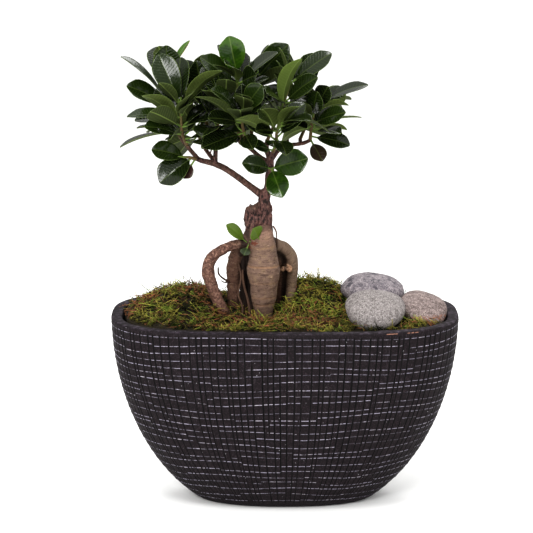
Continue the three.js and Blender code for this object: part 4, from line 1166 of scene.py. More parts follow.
# %% Stations of the scion
STUMP = [[-27, -8, 256, 9], [-28.5, -8, 264, 9.2], [-29.3, -8, 272, 8], [-29.5, -8, 279.5, 7.2]]
TRUNK = [
    [-20, -9, 256, 8.5], [-19.5, -8.5, 266, 7.8], [-19.6, -8, 275, 7], [-19.4, -8, 282, 5.2],
    [-18.5, -8, 290, 5.4], [-15.4, -8, 297, 4], [-14.6, -7.5, 306, 3.7], [-13.2, -6, 315, 3.4],
    [-14, -4, 324, 3.1], [-17, -2, 332, 2.5], [-16, -1, 340, 2],
]
BRANCHES = [
    # The long left branch and its twigs.
    [
        [-18.5, -8, 287, 4.6], [-24, -8, 292, 3.6], [-31, -9, 297.5, 3.2], [-45, -11, 308.5, 3],
        [-56, -12, 316, 2.9], [-67, -12, 320.5, 2.8], [-78, -12, 323.4, 2.5], [-84, -13, 330, 2.1],
        [-89, -15, 337, 1.9],
    ],
    [[-80, -12, 325, 2.2], [-88, -5, 333, 1.9], [-95, 0, 341, 1.9]],
    [[-74, -12, 322.5, 2], [-78, -15, 323.5, 1.8], [-81, -18, 325, 1.7]],
    [[-64, -12, 319, 2.6], [-63.3, -11, 330, 2.1], [-63, -13, 343, 1.9]],
    [[-63.5, -11, 332, 2], [-65.5, -7, 338, 1.8], [-68, -3, 343, 1.8]],
    [[-62, -12, 318.5, 2.2], [-68, -3, 325, 1.9], [-73, 6, 330, 1.8]],
    # The branches under the middle and right of the crown.
    [
        [-13.6, -5, 318, 2.6], [-25, 2, 325, 2.1], [-32.5, 6, 331, 1.9], [-41, 10, 335, 1.8],
        [-42, 10, 341, 1.7],
    ],
    [[-31, 5, 330, 2], [-31.5, 11, 334, 1.8], [-31, 16, 338, 1.8]],
    [[-38, 9, 333.5, 1.9], [-40, 16, 335, 1.8], [-40, 22, 338, 1.8]],
    [[-14, -4, 321, 2.7], [-6.5, 0, 329.5, 2.2], [1, 4, 333.5, 2], [15, 9, 334.5, 1.9], [23, 12, 337, 1.8]],
    [[0, 3, 333, 2], [2, 9, 335, 1.8], [2, 14, 339, 1.8]],
    [[12, 8, 334.3, 1.9], [14, 14, 334.5, 1.8], [14, 20, 337, 1.8]],
    [[-13.8, -4, 322, 2.4], [-12.5, -9, 327, 2], [-11, -14, 331, 1.8]],
    [[-14.6, -8, 307, 2.2], [-14.5, -12, 311, 1.8], [-14, -14.5, 314, 1.6]],
    [[-17, -2, 330, 2.2], [-26, -5, 335, 1.9], [-33, -10, 338, 1.8]],
]
SCION = [STUMP, TRUNK, *BRANCHES]
print("trunk and branches:", round(sum(curve_length(each) for each in SCION[1:])), "mm")

# %% The scion's skin
SCION_CELL = 0.62
THICK_LIMBS = 2  # the stump and the trunk come first
SAWN_AT = 276  # height above which the stump is ragged
SAWN_RELIEF = 2.4
SMOOTHER = (276, 300)  # heights over which the trunk's bark grows smoother
TWIG_RELIEF = 0.16
KNOTS = 0.45
SCION_LIMBS_APART = 20

tubes = [limb(each, 24, 1, 0.035) for each in SCION[:THICK_LIMBS]]
tubes += [limb(each, 10, 1, 0.02) for each in SCION[THICK_LIMBS:]]
wood = fused(joined(tubes), SCION_CELL, 2)
_, owner, along = nearest_limb(wood.points, SCION)
thick = owner < THICK_LIMBS
ridges = rough(wood.points / [1, 1, 2.4], 2.5, 2, seed=6)
bulges = rough(wood.points / [1, 1, 1.3], 5.5, 2, seed=16)
flakes = np.abs(noise(wood.points / [1, 1, 1.6], 3.4, seed=9))
depth = np.where(thick, 0.4 + 1.0 * (1 - smoothstep(wood.points[:, 2], *SMOOTHER)), TWIG_RELIEF)
knot_places = np.stack([along + SCION_LIMBS_APART * owner, *wood.points[:, :2].T * 0.2], 1)
knots = np.where(thick, 0, KNOTS * 0.35 * noise(knot_places, 3, seed=12))
relief = depth * (0.75 * ridges + 0.6 * flakes + 0.7 * bulges - 0.25) + knots
wood.points += relief[:, None] * wood.normals()
on_top = (owner == 0) * smoothstep(wood.points[:, 2], SAWN_AT, SAWN_AT + 3)
wood.points[:, 2] += on_top * SAWN_RELIEF * noise(wood.points * [1, 1, 0], 2.4, seed=15)
wood.marks.update(sawn=on_top, twig=np.where(thick, 0, smoothstep(along, 0, 25)))
print("scion from", wood.points.min(0).round(), "to", wood.points.max(0).round())

# %% Branch bark
OLD_STALK = [[-64, -12, 341, 1], [-65.6, -12, 337, 0.7], [-68.4, -12, 328.5, 0.6]]  # its leaf has dropped

branch_bark = Finish("branch_bark", Specular_IOR_Level=0.3)
crack = branch_bark.lumps(1.9, 5, (1, 1, 2.6))
fine_crack = branch_bark.rise(branch_bark.lumps(1.1, 4, (1, 1, 1.6)), 0.46, 0.36)
bark = branch_bark.blend(branch_bark.lumps(7, 3), colour(66, 43, 40), colour(112, 80, 74))
bark = branch_bark.layered(bark, [
    (branch_bark.rise(crack, 0.52, 0.42) * 0.95, (26, 17, 15)),
    (branch_bark.rise(crack, 0.57, 0.68) * 0.65, (148, 114, 100)),
    (fine_crack * (1 - branch_bark.mark("twig")) * 0.75, (34, 22, 20)),
    (branch_bark.mark("sawn") * 0.35, (116, 94, 78)),
    (branch_bark.mark("twig") * 0.45, (72, 52, 38)),
    (branch_bark.rise(branch_bark.lumps(5, 3), 0.55, 0.7) * 0.3, (96, 52, 44)),
])
branch_bark.surface(bark, roughness=0.72, height=crack, depth=1.4)

whole_wood = joined([wood, limb(OLD_STALK, 8, 1.5, twig=0.8)])
make_piece("scion_bark", whole_wood, branch_bark, ["scion_branches"])

# %% [markdown]
# ## Where the leaves stand
# Each shoot has a stem, a few leaves whose place the photograph shows, and more leaves that spiral up the
# stem by the golden angle. A leaf tries its wanted direction first, then bends aside in growing steps
# until it is clear of every other leaf and of the wood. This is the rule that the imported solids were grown
# by, followed in the same order and with the same sums, so each leaf that it grows lies on its solid.

# %% Shoots
# Known leaves are [share of the stem, tip x, y, z, width, turn]. A turn of 0 degrees shows the blade's
# upper side to the front and 90 to the sky. more is the number of leaves that spiral up from bearing.
SHOOTS = {
    "front_left": dict(
        stem=[[-89, -15, 337], [-93, -19, 348], [-94, -22, 362], [-94, -24, 376]],
        leaves=[
            [0.97, -114, -12, 420, 24, 0], [0.5, -127, -50, 388, 22, 125], [0.9, -56, -45, 409, 22, 115],
            [0.5, -60, -45, 367, 20, 70], [0.72, -141, -22, 380, 22, 60], [0.32, -122, -34, 364, 22, 55],
            [0.12, -69, -42, 342, 16, 65], [0.2, -68, -30, 348, 16, 65],
        ],
        more=4, bearing=40,
    ),
    "far_left": dict(
        stem=[[-95, 0, 341], [-101, 4, 353], [-107, 8, 370], [-109, 10, 385], [-106, 10, 398]],
        leaves=[
            [0.62, -110, 15, 426, 26, 10], [0.62, -149, -4, 416, 22, 74], [0.5, -143, -4, 394, 22, 40],
            [1, -87, 20, 428, 8, 45], [0.3, -137, -2, 358, 20, 60], [0.15, -150, -14, 335, 20, 80],
            [0.2, -135, -8, 351, 17, 84],
        ],
        more=5, bearing=60,
    ),
    "low_left": dict(
        stem=[[-81, -18, 325], [-86, -21, 327], [-91, -24, 328]],
        leaves=[[0.35, -110, -30, 308, 25, 20], [0.9, -115, -26, 334, 18, 30], [0.05, -93, -26, 309, 15, 20]],
        more=0, bearing=0,
    ),
    "left_middle": dict(
        stem=[[-63, -13, 343], [-62, -15, 352], [-58, -18, 365], [-54, -20, 378]],
        leaves=[[0.25, -44, -30, 342, 20, 60]],
        more=11, bearing=320,
    ),
    "left_back": dict(
        stem=[[-68, -3, 343], [-72, 10, 354], [-75, 19, 369], [-76, 25, 385]],
        leaves=[[0.55, -81, 10, 411, 22, 10], [0.8, -96, 24, 409, 22, 30]],
        more=8, bearing=100,
    ),
    "top": dict(
        stem=[[-42, 10, 341], [-43, 8, 355], [-44, 4, 377], [-43, 0, 397]],
        leaves=[
            [1, -51, -8, 436, 24, 0], [0.85, -77, -6, 416, 22, 40], [0.92, -57, -34, 417, 20, 100],
            [0.9, -26, -14, 401, 22, 20],
        ],
        more=7, bearing=40,
    ),
    "top_back": dict(
        stem=[[-31, 16, 338], [-30, 26, 355], [-29, 34, 377], [-27, 38, 395]],
        leaves=[[0.9, 3, 22, 424, 24, 5], [1, -15, 32, 421, 14, 80]],
        more=7, bearing=150,
    ),
    "right_top": dict(
        stem=[[-16, -1, 340], [-8, -6, 359], [-1, -8, 376], [4, -6, 392]],
        leaves=[[0.5, 14, -38, 419, 20, 130], [0.65, 29, -26, 401, 20, 35], [1, 42, -8, 420, 20, 30]],
        more=7, bearing=220,
    ),
    "right": dict(
        stem=[[23, 12, 337], [24, 8, 349], [26, 4, 362], [31, 2, 375]],
        leaves=[
            [0.6, 29, -20, 387, 18, 25], [0.8, 41, -4, 390, 18, 20], [0.9, 56, 14, 384, 18, 40],
            [0.95, 77, 0, 385, 18, 55], [0.8, 54, -12, 376, 16, 110], [0.45, 57, -14, 369, 18, 30],
            [0.42, 70, 8, 359, 14, 84], [0.3, 57, 14, 346, 12, 110], [0.25, 50, -20, 349, 18, 62],
            [0.12, 59, -2, 335, 18, 35], [0.04, 34, -8, 321, 15, 10], [0.4, -4, -30, 341, 16, 125],
            [0.5, 9, -26, 377, 14, 120],
        ],
        more=3, bearing=60,
    ),
    "front_right": dict(
        stem=[[-11, -14, 331], [-8, -24, 341], [-8, -32, 351], [-6, -38, 362]],
        leaves=[
            [0.7, -17, -52, 377, 20, 150], [0.75, 13, -56, 382, 18, 120], [0.45, -40, -62, 374, 20, 130],
            [0.08, -8, -34, 346, 14, 10], [0.05, -29, -34, 340, 14, 40],
        ],
        more=4, bearing=300,
    ),
    "trunk": dict(
        stem=[[-14, -14.5, 314], [-13, -18, 316], [-12, -21, 317]],
        leaves=[[0.9, 17, -36, 328, 22, 5], [0.8, -1, -40, 300, 20, 0], [0.6, -37, -34, 324, 18, 15]],
        more=0, bearing=0,
    ),
    "front_middle": dict(
        stem=[[-33, -10, 338], [-37, -24, 349], [-39, -33, 362], [-38, -38, 372]],
        leaves=[[1, -21, -52, 398, 20, 15], [0.4, -80, -52, 388, 20, 112]],
        more=8, bearing=80,
    ),
    "right_back": dict(
        stem=[[2, 14, 339], [8, 30, 351], [13, 42, 367], [16, 46, 378]],
        leaves=[[0.9, 27, 30, 415, 22, 20]],
        more=10, bearing=10,
    ),
    "far_back_left": dict(
        stem=[[-73, 6, 330], [-81, 22, 343], [-87, 36, 358], [-89, 42, 372]], leaves=[], more=11, bearing=110
    ),
    "back": dict(
        stem=[[-40, 22, 338], [-44, 40, 349], [-50, 54, 366], [-52, 58, 380]], leaves=[], more=11, bearing=200
    ),
    "far_right_back": dict(
        stem=[[14, 20, 337], [19, 38, 345], [24, 50, 357], [27, 54, 370]], leaves=[], more=10, bearing=260
    ),
}
SPROUT_STEM = [[-30, -14, 249], [-32, -19, 249.5], [-32, -23, 250]]
print("known leaves:", sum(len(shoot["leaves"]) for shoot in SHOOTS.values()))

# %% The leaf and its blade
PETIOLE = 6
PETIOLE_RADIUS = 0.9
SPROUT_PETIOLE = 4
BLADE_SWELL = 0.8
BLADE_CLOSE = 0.5
LEAF_FOLD = 0.18
ARCH = 0.06
ARCH_OF_DROOPING = 0.12
DROOPING_TURN = 95
TO_VIEWER = np.array([0, -1, 0.23]) / np.hypot(1, 0.23)


def unit(vector):
    return vector / np.linalg.norm(vector)


def outline(share):
    return share**BLADE_SWELL * (1 - share) ** BLADE_CLOSE


def blade_shape(share):
    """Half a blade's width at a share of its length, as a share of half its greatest width."""
    return outline(np.clip(share, 0, 1)) / outline(BLADE_SWELL / (BLADE_SWELL + BLADE_CLOSE))


def facing(along, turn):
    """The way that a blade's upper side looks, at a turn in degrees from the front towards the sky."""
    front = unit(TO_VIEWER - TO_VIEWER @ along * along)
    side = np.cross(along, front)
    side = side if side[2] >= 0 else -side
    return front * np.cos(np.radians(turn)) + side * np.sin(np.radians(turn))


def make_leaf(wanted, yaw=0.0, pitch=0.0, scale=1.0):
    """A leaf from its root on the stem towards its tip, bent by yaw across the blade and by pitch up."""
    root, tip, face = wanted["root"], wanted["tip"], wanted["face"]
    reach = np.linalg.norm(tip - root)
    along = unit(tip - root)
    up = unit(face - face @ along * along)
    along = unit(along + np.cross(up, along) * np.tan(yaw) + up * np.tan(pitch))
    up = unit(face - face @ along * along)
    return dict(
        root=root, along=along, up=up, side=np.cross(up, along), base=root + along * wanted["petiole"],
        length=(reach - wanted["petiole"]) * scale, width=wanted["width"] * scale, arch=wanted["arch"],
        petiole=wanted["petiole"],
    )


def blade_lift(leaf, s, across):
    """Height of the blade over its chord, at a share of its length and of its half width."""
    half = leaf["width"] / 2 * blade_shape(s)
    return leaf["arch"] * leaf["length"] * 4 * s * (1 - s) + LEAF_FOLD * half * across


def blade_points(leaf, s, across):
    half = leaf["width"] / 2 * blade_shape(s)
    lift = blade_lift(leaf, s, np.abs(across))
    along = (s * leaf["length"])[..., None] * leaf["along"]
    return leaf["base"] + along + (across * half)[..., None] * leaf["side"] + lift[..., None] * leaf["up"]


def near_blades(leaves, points, reach):
    """For each leaf and each of its points, whether the point lies within reach of the blade."""
    away = points - leaves["base"][:, None]
    s, across, high = (
        (away @ leaves[way][:, :, None])[..., 0] for way in ("along", "side", "up")
    )
    leaves = {name: value[:, None] for name, value in leaves.items() if value.ndim == 1}
    s = s / leaves["length"]
    half = np.maximum(leaves["width"] / 2 * blade_shape(s), 0.2)
    beside = (s >= 0.02) & (s <= 1.03) & (np.abs(across) <= half + 0.8)
    lift = blade_lift(leaves, np.minimum(s, 1), np.minimum(np.abs(across) / half, 1))
    return beside & (np.abs(high - lift) < reach)


# %% Values of the rule
LEAF_WIDTH_SHARE = 0.56
LEAF_REACH = 2.4
WOOD_REACH = 0.8
FAR_APART = 8  # leaves whose ends are this much apart can't touch
OWN_STEM = 8
SAME_SHOOT_START = 0.22
GOLDEN_ANGLE = np.radians(137.508)
SPIRAL_SHARES = [0.28, 0.98]
SPIRAL_SPLAYS = [81, 39]
SPLAY_RANGE = 14
LENGTHS = [38, 48]
TOP_SHORTENING = 9
CROWN_MIDDLE = np.array([-35, 0, 350])
STEM_RADII = [1.7, 1.1]
SPROUT_RADII = [0.9, 0.7]
SAMPLE_S, SAMPLE_ACROSS = np.meshgrid(np.arange(1, 13) / 12, np.arange(-3, 4) / 3, indexing="ij")
SAMPLE_S, SAMPLE_ACROSS = SAMPLE_S.ravel(), SAMPLE_ACROSS.ravel()
BENDS = [(0.0, 0.0)]
for size, k in product([7, 14, 21, 28, 36, 46], range(8)):
    BENDS.append((np.radians(size) * np.cos(np.pi * k / 4), np.radians(size) * np.sin(np.pi * k / 4)))
PLACED_BENDS = 25
FIRST_SPIRAL = 100  # rows of a shoot's list come first, then its spiral leaves, then small inner leaves
FIRST_FILLER = 200


print("bends that a leaf may try:", len(BENDS))

# %% Clear of leaves and wood


def wood_points(stations, radius, owner):
    """Points along a limb, close enough together to stop a leaf: x, y, z, radius and owner."""
    count = int(np.ceil(curve_length(stations) / 2.5))
    share = np.arange(count + 1) / count
    return np.column_stack([curve_points(stations, share), radius(share), np.full(count + 1, owner)])


def petiole_points(leaf):
    return leaf["root"] + np.array([[0.35], [0.7], [1]]) * (leaf["base"] - leaf["root"])


def stacked(leaves):
    return {name: np.array([leaf[name] for leaf in leaves]) for name in leaves[0]}


def is_clear(leaf, samples, shoot, grown, wood, room):
    """Whether a leaf is clear of the leaves that stand and of the wood and petioles of other shoots."""
    middle = blade_points(leaf, np.array(0.5), np.array(0.0))
    own = stacked([leaf])
    others = []
    for each in grown:
        reach = (leaf["length"] + each["length"]) / 2 + FAR_APART
        if np.linalg.norm(middle - each["middle"]) <= reach:
            others.append(each)
    if others:
        all_samples = np.array([each["samples"] for each in others])
        blades = stacked([{name: each[name] for name in leaf} for each in others])
        start = np.array([SAME_SHOOT_START if each["shoot"] == shoot else 0 for each in others])
        counts = SAMPLE_S > start[:, None]
        if (near_blades(blades, samples[None], room) & counts).any():
            return False
        if (near_blades(own, all_samples.reshape(1, -1, 3), room) & counts.reshape(1, -1)).any():
            return False
        if near_blades(blades, petiole_points(leaf)[None], room)[start == 0].any():
            return False
    wood = wood[np.linalg.norm(wood[:, :3] - middle, axis=1) < leaf["length"] + PETIOLE]
    place, radius, owner = wood[:, :3], wood[:, 3], wood[:, 4]
    from_root = np.linalg.norm(place - leaf["root"], axis=1)
    from_petiole = np.linalg.norm(place[:, None] - petiole_points(leaf), axis=2).min(1)
    too_near = from_petiole < radius + PETIOLE_RADIUS + WOOD_REACH
    touches = (owner != shoot) & (from_root >= OWN_STEM) & too_near
    pierces = (from_root > OWN_STEM) & near_blades(own, place[None], radius + WOOD_REACH)[0]
    return not (touches | pierces).any()


print("a trunk of", len(wood_points(TRUNK, lambda t: radii(TRUNK, t), -1)), "points stops leaves")

# %% Wanted leaves


def placed_leaf(stem, row):
    """The wanted leaf of a row in a shoot's list."""
    share, *tip, width, turn = row
    root = curve_points(stem, np.array(share))
    face = facing(unit(tip - root), turn)
    arch = ARCH_OF_DROOPING if turn > DROOPING_TURN else ARCH
    return dict(root=root, tip=np.array(tip), width=width, face=face, arch=arch, petiole=PETIOLE)


def spiral_leaf(shoot, i):
    """The wanted leaf number i of those that spiral up a shoot. It looks up the stem and out of the crown."""
    seed = shoot["bearing"] + 17 * i
    climb = i / max(shoot["more"] - 1, 1)
    share = mix(*SPIRAL_SHARES, climb)
    root, axis = curve_points(shoot["stem"], np.array(share)), curve_ways(shoot["stem"], share)
    level = unit(np.array([1, 0, 0]) - axis[0] * axis)
    bearing = np.radians(shoot["bearing"]) + GOLDEN_ANGLE * i
    splay = np.radians(mix(*SPIRAL_SPLAYS, climb) + SPLAY_RANGE * (chance(seed) - 0.5))
    length = mix(*LENGTHS, chance(seed + 0.1)) - TOP_SHORTENING * share**4
    out = level * np.cos(bearing) + np.cross(axis, level) * np.sin(bearing)
    tip = root + (axis * np.cos(splay) + out * np.sin(splay)) * (length + PETIOLE)
    face = axis + unit(tip - CROWN_MIDDLE) * (0.3 + chance(seed + 0.2))
    arch = ARCH * (0.6 + chance(seed + 0.3))
    return dict(root=root, tip=tip, width=LEAF_WIDTH_SHARE * length, face=face, arch=arch, petiole=PETIOLE)


first_wanted = spiral_leaf(SHOOTS["front_left"], 0)
print("the first spiral leaf wants its tip at", first_wanted["tip"].round())

# %% Growing the crown


def grow(number, wanted, bends, grown, wood, row, room=LEAF_REACH):
    """Adds the wanted leaf in its first clear bend, with its petiole, and gives all the wood back."""
    for scale, (yaw, pitch) in product([1, 0.82], BENDS[:bends]):
        leaf = make_leaf(wanted, yaw, pitch, scale)
        samples = blade_points(leaf, SAMPLE_S, SAMPLE_ACROSS)
        if is_clear(leaf, samples, number, grown, wood, room):
            middle = blade_points(leaf, np.array(0.5), np.array(0.0))
            grown.append({**leaf, "samples": samples, "middle": middle, "shoot": number, "row": row})
            stalk = np.column_stack([petiole_points(leaf), np.full(3, PETIOLE_RADIUS), np.full(3, number)])
            return np.vstack([wood, stalk])
    return wood


wood_of_all = [wood_points(each, lambda t, each=each: radii(each, t), -1) for each in SCION]
for number, shoot in enumerate(SHOOTS.values()):
    wood_of_all.append(wood_points(shoot["stem"], lambda t: mix(*STEM_RADII, t), number))
standing = np.vstack(wood_of_all)
grown_leaves = []
for number, shoot in enumerate(SHOOTS.values()):
    for k, row in enumerate(shoot["leaves"]):
        standing = grow(number, placed_leaf(shoot["stem"], row), PLACED_BENDS, grown_leaves, standing, k)
for number, shoot in enumerate(SHOOTS.values()):
    for i in range(shoot["more"]):
        standing = grow(number, spiral_leaf(shoot, i), len(BENDS), grown_leaves, standing, FIRST_SPIRAL + i)
print("leaves:", len(grown_leaves), "by shoot:", np.bincount([leaf["shoot"] for leaf in grown_leaves]))

# %% [markdown]
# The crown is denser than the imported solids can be: inside it small leaves fill the space between the
# large ones, and no daylight comes through its middle. The same rule grows them, with less room between
# blades, after all the large leaves stand. Twelve large leaves and a small one cover places where the
# photograph shows daylight or another leaf, so they are left out here, and five known ones grow larger.

# %% Inner leaves
FILLERS = 7  # tries for each shoot
OPEN_SHOOTS = ["right", "right_back", "far_right_back"]  # daylight comes through the crown's right side
FILLER_SCALE = 0.74
FILLER_ROOM = 1.1
FILLER_BEARING = 71
LEFT_OUT = {  # numbers of a shoot's spiral leaves that are left out; from 100 on they are inner leaves
    "front_right": [0, 100], "far_right_back": [1, 9], "right_back": [5, 8], "right": [2], "top_back": [5, 6],
    "far_left": [1, 4], "right_top": [4, 6],
}
# Leaves that look larger in the photograph: how much longer and wider they are here, from nearer their stem.
ENLARGED = {
    ("trunk", 0): (1.12, 1.1), ("trunk", 1): (1.25, 1.05), ("trunk", 2): (1.1, 1.0),
    ("low_left", 0): (1.16, 1.05), ("low_left", 1): (1.3, 1.15),
}

shoot_names = list(SHOOTS)
large = len(grown_leaves)
for i in range(FILLERS):
    for number, (name, shoot) in enumerate(SHOOTS.items()):
        if shoot["more"] and name not in OPEN_SHOOTS:
            inner = {**shoot, "bearing": shoot["bearing"] + FILLER_BEARING, "more": FILLERS}
            wanted = spiral_leaf(inner, i)
            wanted["tip"] = mix(wanted["root"], wanted["tip"], FILLER_SCALE)
            wanted["width"] *= FILLER_SCALE
            standing = grow(number, wanted, len(BENDS), grown_leaves, standing, FIRST_FILLER + i, FILLER_ROOM)
print("inner leaves:", len(grown_leaves) - large)


def is_left_out(leaf):
    return leaf["row"] - FIRST_SPIRAL in LEFT_OUT.get(shoot_names[leaf["shoot"]], [])


grown_leaves = [leaf for leaf in grown_leaves if not is_left_out(leaf)]
print("leaves that stay:", len(grown_leaves))
for leaf in grown_leaves:
    longer, wider = ENLARGED.get((shoot_names[leaf["shoot"]], leaf["row"]), (1, 1))
    if longer > 1:
        leaf["base"] = leaf["root"] + 0.4 * PETIOLE * leaf["along"]
        leaf["petiole"] = 0.4 * PETIOLE
        leaf["length"] = longer * leaf["length"] + 0.6 * PETIOLE
        leaf["width"] = wider * leaf["width"]

# %% [markdown]
# ## Leaves
# A fig's leaf is leathery and about half a millimetre thick. It is folded a little along the midrib, which
# is sunk in the glossy upper side and stands out as a pale rib under the dull, olive lower side; the
# margin is a thin pale line. Each leaf is one closed skin: rings of 20 points, round along the petiole and
# flat along the blade. No two are quite alike, so each one gets its own cupping, twist and tone.

# %% A leaf's skin
HALF_ACROSS = np.array([1, 0.94, 0.74, 0.42, 0.12])
UPPER_ACROSS = np.concatenate([HALF_ACROSS, [0], -HALF_ACROSS[::-1]])
LEAF_ACROSS = np.concatenate([UPPER_ACROSS, UPPER_ACROSS[-2:0:-1]])
LEAF_SIDE = np.concatenate([[0], np.ones(9), [0], -np.ones(9)])  # 1 above, -1 below, 0 on the margin
BLADE_STATIONS = [
    0.03, 0.07, 0.12, 0.19, 0.27, 0.36, 0.46, 0.56, 0.66, 0.75, 0.83, 0.9, 0.95, 0.983,
]
LEAF_THICKNESS = 0.5
LEAF_VARIETY = np.array([0.07, 0.09, 0.02, 0.4])  # most cupping, twist, droop and waviness


def leaf_shape(leaf, seed, petiole_radius=PETIOLE_RADIUS, **marks):
    """One leaf, from inside its stem to its tip. Marks: across, aside and along in mm, side and more."""
    stations = np.concatenate([[0.0], BLADE_STATIONS, [0.998]])
    leading = -leaf["petiole"] / leaf["length"] * np.array([1, 0.66, 0.33])
    s = np.concatenate([leading, stations])[:, None]
    ahead = np.clip(s, 0, 1)
    pointed = 1 - 0.3 * smoothstep(ahead, 0.8, 1)
    half = leaf["width"] / 2 * blade_shape(ahead) * pointed
    cup, twist, droop, wave = (2 * chance(seed + np.array([0.1, 0.2, 0.3, 0.4])) - 1) * LEAF_VARIETY
    across = LEAF_ACROSS[None]
    aside = np.abs(across) * half
    fold = LEAF_FOLD * half * (np.sqrt(across**2 + 0.03) - 0.173) / 0.842
    rise = leaf["arch"] * leaf["length"] * 4 * ahead * (1 - ahead) + fold
    rise = rise + cup * half * across**2 + twist * half * across * (ahead - 0.4)
    rise = rise - droop * leaf["length"] * smoothstep(ahead, 0.5, 1) ** 2
    rise = rise + wave * across**4 * np.sin(11 * ahead + 6 * chance(seed) + 2 * np.sign(across)) * (1 - ahead)
    edge = np.sqrt(np.maximum(1 - across**8, 0))
    rib = np.exp(-((aside / 0.5) ** 2)) * (1 - 0.75 * ahead)
    above = LEAF_THICKNESS / 2 * edge - 0.3 * rib
    below = LEAF_THICKNESS / 2 * edge + 0.75 * rib
    thick = np.where(LEAF_SIDE > 0, above, -below * (LEAF_SIDE < 0))
    round_side = petiole_radius * 0.9 * np.sqrt(np.maximum(1 - across**2, 0)) * LEAF_SIDE
    flat = smoothstep(s * leaf["length"], -1.5, 4)
    x = mix(petiole_radius * 0.9 * across, across * half, flat)
    least = petiole_radius * 0.9 * across
    x = np.where(np.abs(x) > np.abs(least), x, least * (1 - ahead**4))
    z = mix(round_side, rise + thick, flat)
    distance = s * leaf["length"]
    rings = leaf["base"] + distance[..., None] * leaf["along"]
    rings = rings + x[..., None] * leaf["side"] + z[..., None] * leaf["up"]
    marks.setdefault("tone", chance(seed + 0.5))
    return ringed(
        rings, across=np.abs(across) * flat, aside=aside, along=distance, upper=(LEAF_SIDE[None] + 1) / 2,
        petiole=1 - flat, **marks,
    )


def stem_shape(stem, thick, thin):
    """A shoot's stem with its pointed bud."""
    end = curve_ways(stem, 1.0)
    bud = [*(np.array(stem[-1]) + 7 * end), 0.35]
    steps = len(stem) - 1
    stations = [[*place, mix(thick, thin, i / steps)] for i, place in enumerate(stem)] + [bud]
    made = limb(stations, 8, 1.6)
    share = made.marks["along"] / made.marks["along"].max()
    made.marks.update(stem=np.ones(len(share)), youth=smoothstep(share, 0.35, 0.95))
    return made


example = leaf_shape(grown_leaves[0], 1)
print("a leaf has", len(example.faces), "triangles and is", round(grown_leaves[0]["length"]), "mm long")

# %% [markdown]
# The upper side is a very dark green. Its shine draws the soft boxes as pale windows, which the veins and a
# slight quilting break up; the lower side is olive and dull. Faint side veins leave the midrib at a slant.
# A few leaves differ: the topmost one is fresh green, a young one at the left still has an orange edge,
# two have a purple bloom, and those inside the crown are darker, with painted shade.

# %% Leaf finish
DULL = 0.7  # roughness of the lower side
VEIN_SLANT = 0.55
VEINS = 2.1  # turns of the veins' wave for each millimetre, in radians
UNDER_VARIETY = 0.72  # how dark the darker parts of the lower side are


def leaf_finish(name, deep, light, beneath, rib_colour, margin, gloss):
    """The finish of leaves of one age."""
    finish = Finish(name, Specular_IOR_Level=0.35)
    aside, along, upper = finish.mark("aside"), finish.mark("along"), finish.mark("upper")
    tone, youth, age = finish.mark("tone"), finish.mark("youth"), finish.mark("age")
    blush, stem, petiole = finish.mark("blush"), finish.mark("stem"), finish.mark("petiole")
    cloud = finish.rise(finish.lumps(11, 2), 0.4, 0.6)
    top = finish.blend(tone * 0.75 + 0.25 * finish.lumps(9, 2), colour(*deep), colour(*light))
    top = finish.blend(youth, top, finish.blend(cloud, colour(34, 64, 9), colour(66, 104, 20)))
    # painted shade: leaves inside the crown, and a few listed ones, are darkened
    top = finish.layered(top, [(age * 0.5, (8, 13, 4)), (blush * 0.75, (66, 38, 44))])
    worn_beneath = [UNDER_VARIETY * part for part in beneath]
    under = finish.blend(finish.lumps(6, 3), colour(*beneath), colour(*worn_beneath))
    under = finish.layered(under, [
        # painted shade darkens the lower side too
        (youth, (104, 126, 52)), (age * 0.75, (36, 46, 15)), (blush * 0.8, (74, 50, 52)),
    ])
    blade = finish.blend(finish.rise(upper, 0.3, 0.7), under, top)
    waves = finish.node("Math", {"operation": "SINE"}, {0: (along - aside * VEIN_SLANT) * VEINS})
    vein = finish.rise(waves, 0.75, 1) * finish.rise(aside, 0.4, 1.2)
    rib = finish.rise(aside, 0.75, 0.3)
    edge = finish.rise(finish.mark("across"), 0.94, 0.98)
    blade = finish.layered(blade, [
        (vein * (0.22 - 0.17 * upper), rib_colour),
        (rib * (0.7 - 0.56 * upper + 0.25 * youth), rib_colour),
        (edge * 0.55, margin),
        (edge * finish.mark("amber"), (206, 120, 50)),
    ])
    stalk = finish.blend(stem, colour(98, 122, 52), colour(92, 76, 48))
    stalk = finish.blend(stem * youth, stalk, colour(96, 118, 52))
    blade = finish.blend(finish.rise(petiole + stem, 0.25, 0.8), blade, stalk)
    shine = finish.rise(upper, 0.3, 0.7) * (1 - finish.rise(petiole, 0.2, 0.6))
    roughness = DULL - (DULL - gloss) * shine + 0.06 * finish.lumps(3, 2)
    quilting = 0.35 * vein + 0.65 * finish.lumps(5, 2)
    return finish.surface(blade, roughness, height=quilting, depth=0.16)


grown = leaf_finish("leaf", (14, 21, 7), (32, 46, 14), (84, 98, 40), (122, 140, 72), (112, 132, 62), 0.1)
YOUTH = {
    ("top", 0): 0.6, ("right_top", 0): 0.5, ("far_left", 3): 0.7,
    ("trunk", 0): 0.2, ("trunk", 1): 0.35, ("front_right", 4): 0.2,
}
BLUSH = {("low_left", 2): 0.9, ("right", 10): 0.55}
AMBER = {("far_left", 3): 0.8}
# Leaves that get painted shade, which makes them darker than their neighbours.
SHADED_LEAVES = {
    ("front_left", 101): 1.0, ("front_middle", 1): 0.75, ("front_middle", 104): 1.0,
    ("left_middle", 110): 1.0, ("right_top", 101): 1.0, ("far_back_left", 100): 1.0,
}


def inner_leaf_shade(row, seed):
    """How much painted shade a leaf gets: from 0 for the outer leaves to 1 for the deepest of the inner ones.
    """
    return (row >= FIRST_SPIRAL) * (0.35 + 0.3 * chance(seed + 0.8)) + 0.35 * (row >= FIRST_FILLER)


